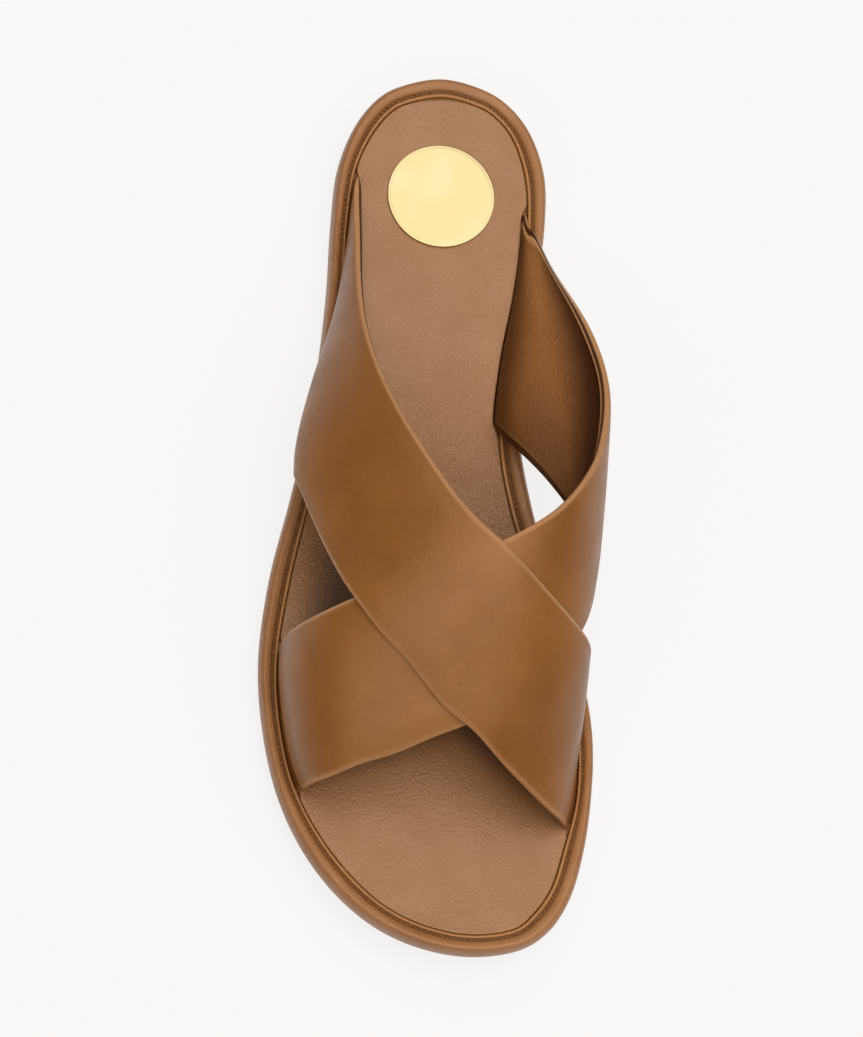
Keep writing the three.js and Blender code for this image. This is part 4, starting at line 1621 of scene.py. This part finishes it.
@dataclass(frozen=True)
class PhotoCamera:
    """The camera at the photograph's angle, framed on the one shoe."""

    towards_x: float = -0.124
    towards_y: float = -0.2956
    distance_mm: float = 1500.0
    pixels_per_mm: float = 3.04 * 1.16
    aim: tuple[float, float, float] = (2.1, 0.1, 0.0)
    sensor_mm: float = 36.0

    def build(self) -> None:
        """Sets up the camera."""
        towards_z = math.sqrt(1 - self.towards_x ** 2 - self.towards_y ** 2)
        back = Vector((self.towards_x, self.towards_y, towards_z))
        up = Vector((0, 1, 0))
        up = (up - up.dot(back) * back).normalized()
        right = up.cross(back)
        data = bpy.data.cameras.new("camera")
        data.sensor_width = self.sensor_mm
        data.lens = self.pixels_per_mm * self.distance_mm / PHOTO_HEIGHT * self.sensor_mm
        data.clip_start, data.clip_end = 0.05, 100.0
        camera = bpy.data.objects.new("camera", data)
        axes = Matrix((right, up, back)).transposed().to_4x4()
        place = Vector(self.aim) * MM + back * self.distance_mm * MM
        camera.matrix_world = Matrix.Translation(place) @ axes
        bpy.context.scene.collection.objects.link(camera)
        bpy.context.scene.camera = camera


STRAP_LEATHER = StrapLeather(
    name="tan strap leather",
    light=srgb(139, 89, 40),
    dark=srgb(123, 75, 30),
    grain_mm=0.55,
    grain_depth_mm=0.028,
    wave_mm=11.0,
    wave_depth_mm=0.3,
    roughness=0.36,
)
LINING_LEATHER = LiningLeather(
    name="brown lining leather",
    light=srgb(150, 98, 50),
    dark=srgb(130, 78, 32),
    grain_mm=1.7,
    grain_depth_mm=0.075,
    pebbled=0.25,
    wave_mm=12.0,
    wave_depth_mm=0.2,
    roughness=0.42,
    gloss_tint=(1.0, 0.72, 0.55, 1.0),
)
RIM_LEATHER = RimLeather(
    name="tan rim leather",
    light=srgb(158, 108, 64),
    dark=srgb(140, 90, 48),
    grain_mm=0.7,
    grain_depth_mm=0.05,
    wave_mm=7.0,
    wave_depth_mm=0.2,
    roughness=0.42,
    gloss_tint=(1.0, 0.74, 0.58, 1.0),
)
INSOLE_LEATHER = InsoleLeather(
    name="tan insole leather",
    light=srgb(143, 95, 52),
    dark=srgb(135, 87, 44),
    grain_mm=1.7,
    grain_depth_mm=0.13,
    pebbled=0.12,
    wave_mm=16.0,
    wave_depth_mm=0.1,
    roughness=0.44,
    gloss=0.9,
    gloss_tint=(1.0, 0.78, 0.63, 1.0),
)


def main() -> None:
    """Builds the sandal, its studio and its camera."""
    logging.basicConfig(level=logging.INFO, format="%(message)s")
    sizes = Sizes.of_frame()
    form = Form(sizes, Outline(sizes))
    maker = Maker(form)
    PhotoCamera().build()
    Outsole(maker, SoleRubber()).build()
    footbed = Footbed(maker, RIM_LEATHER, Thread())
    footbed.build()
    footbed.stitches()
    Insole(maker, INSOLE_LEATHER).build()
    flat = lambda turn, y: np.zeros(np.shape(y))
    Strap(maker, "under", UNDER_EDGES, flat, STRAP_LEATHER, LINING_LEATHER, ["upper"]).build()
    Strap(maker, "over", OVER_EDGES, form.lift, STRAP_LEATHER, LINING_LEATHER, ["upper"]).build()
    HeelDisc(maker, Gold()).build()
    Studio().build()


if __name__ == "__main__":
    main()
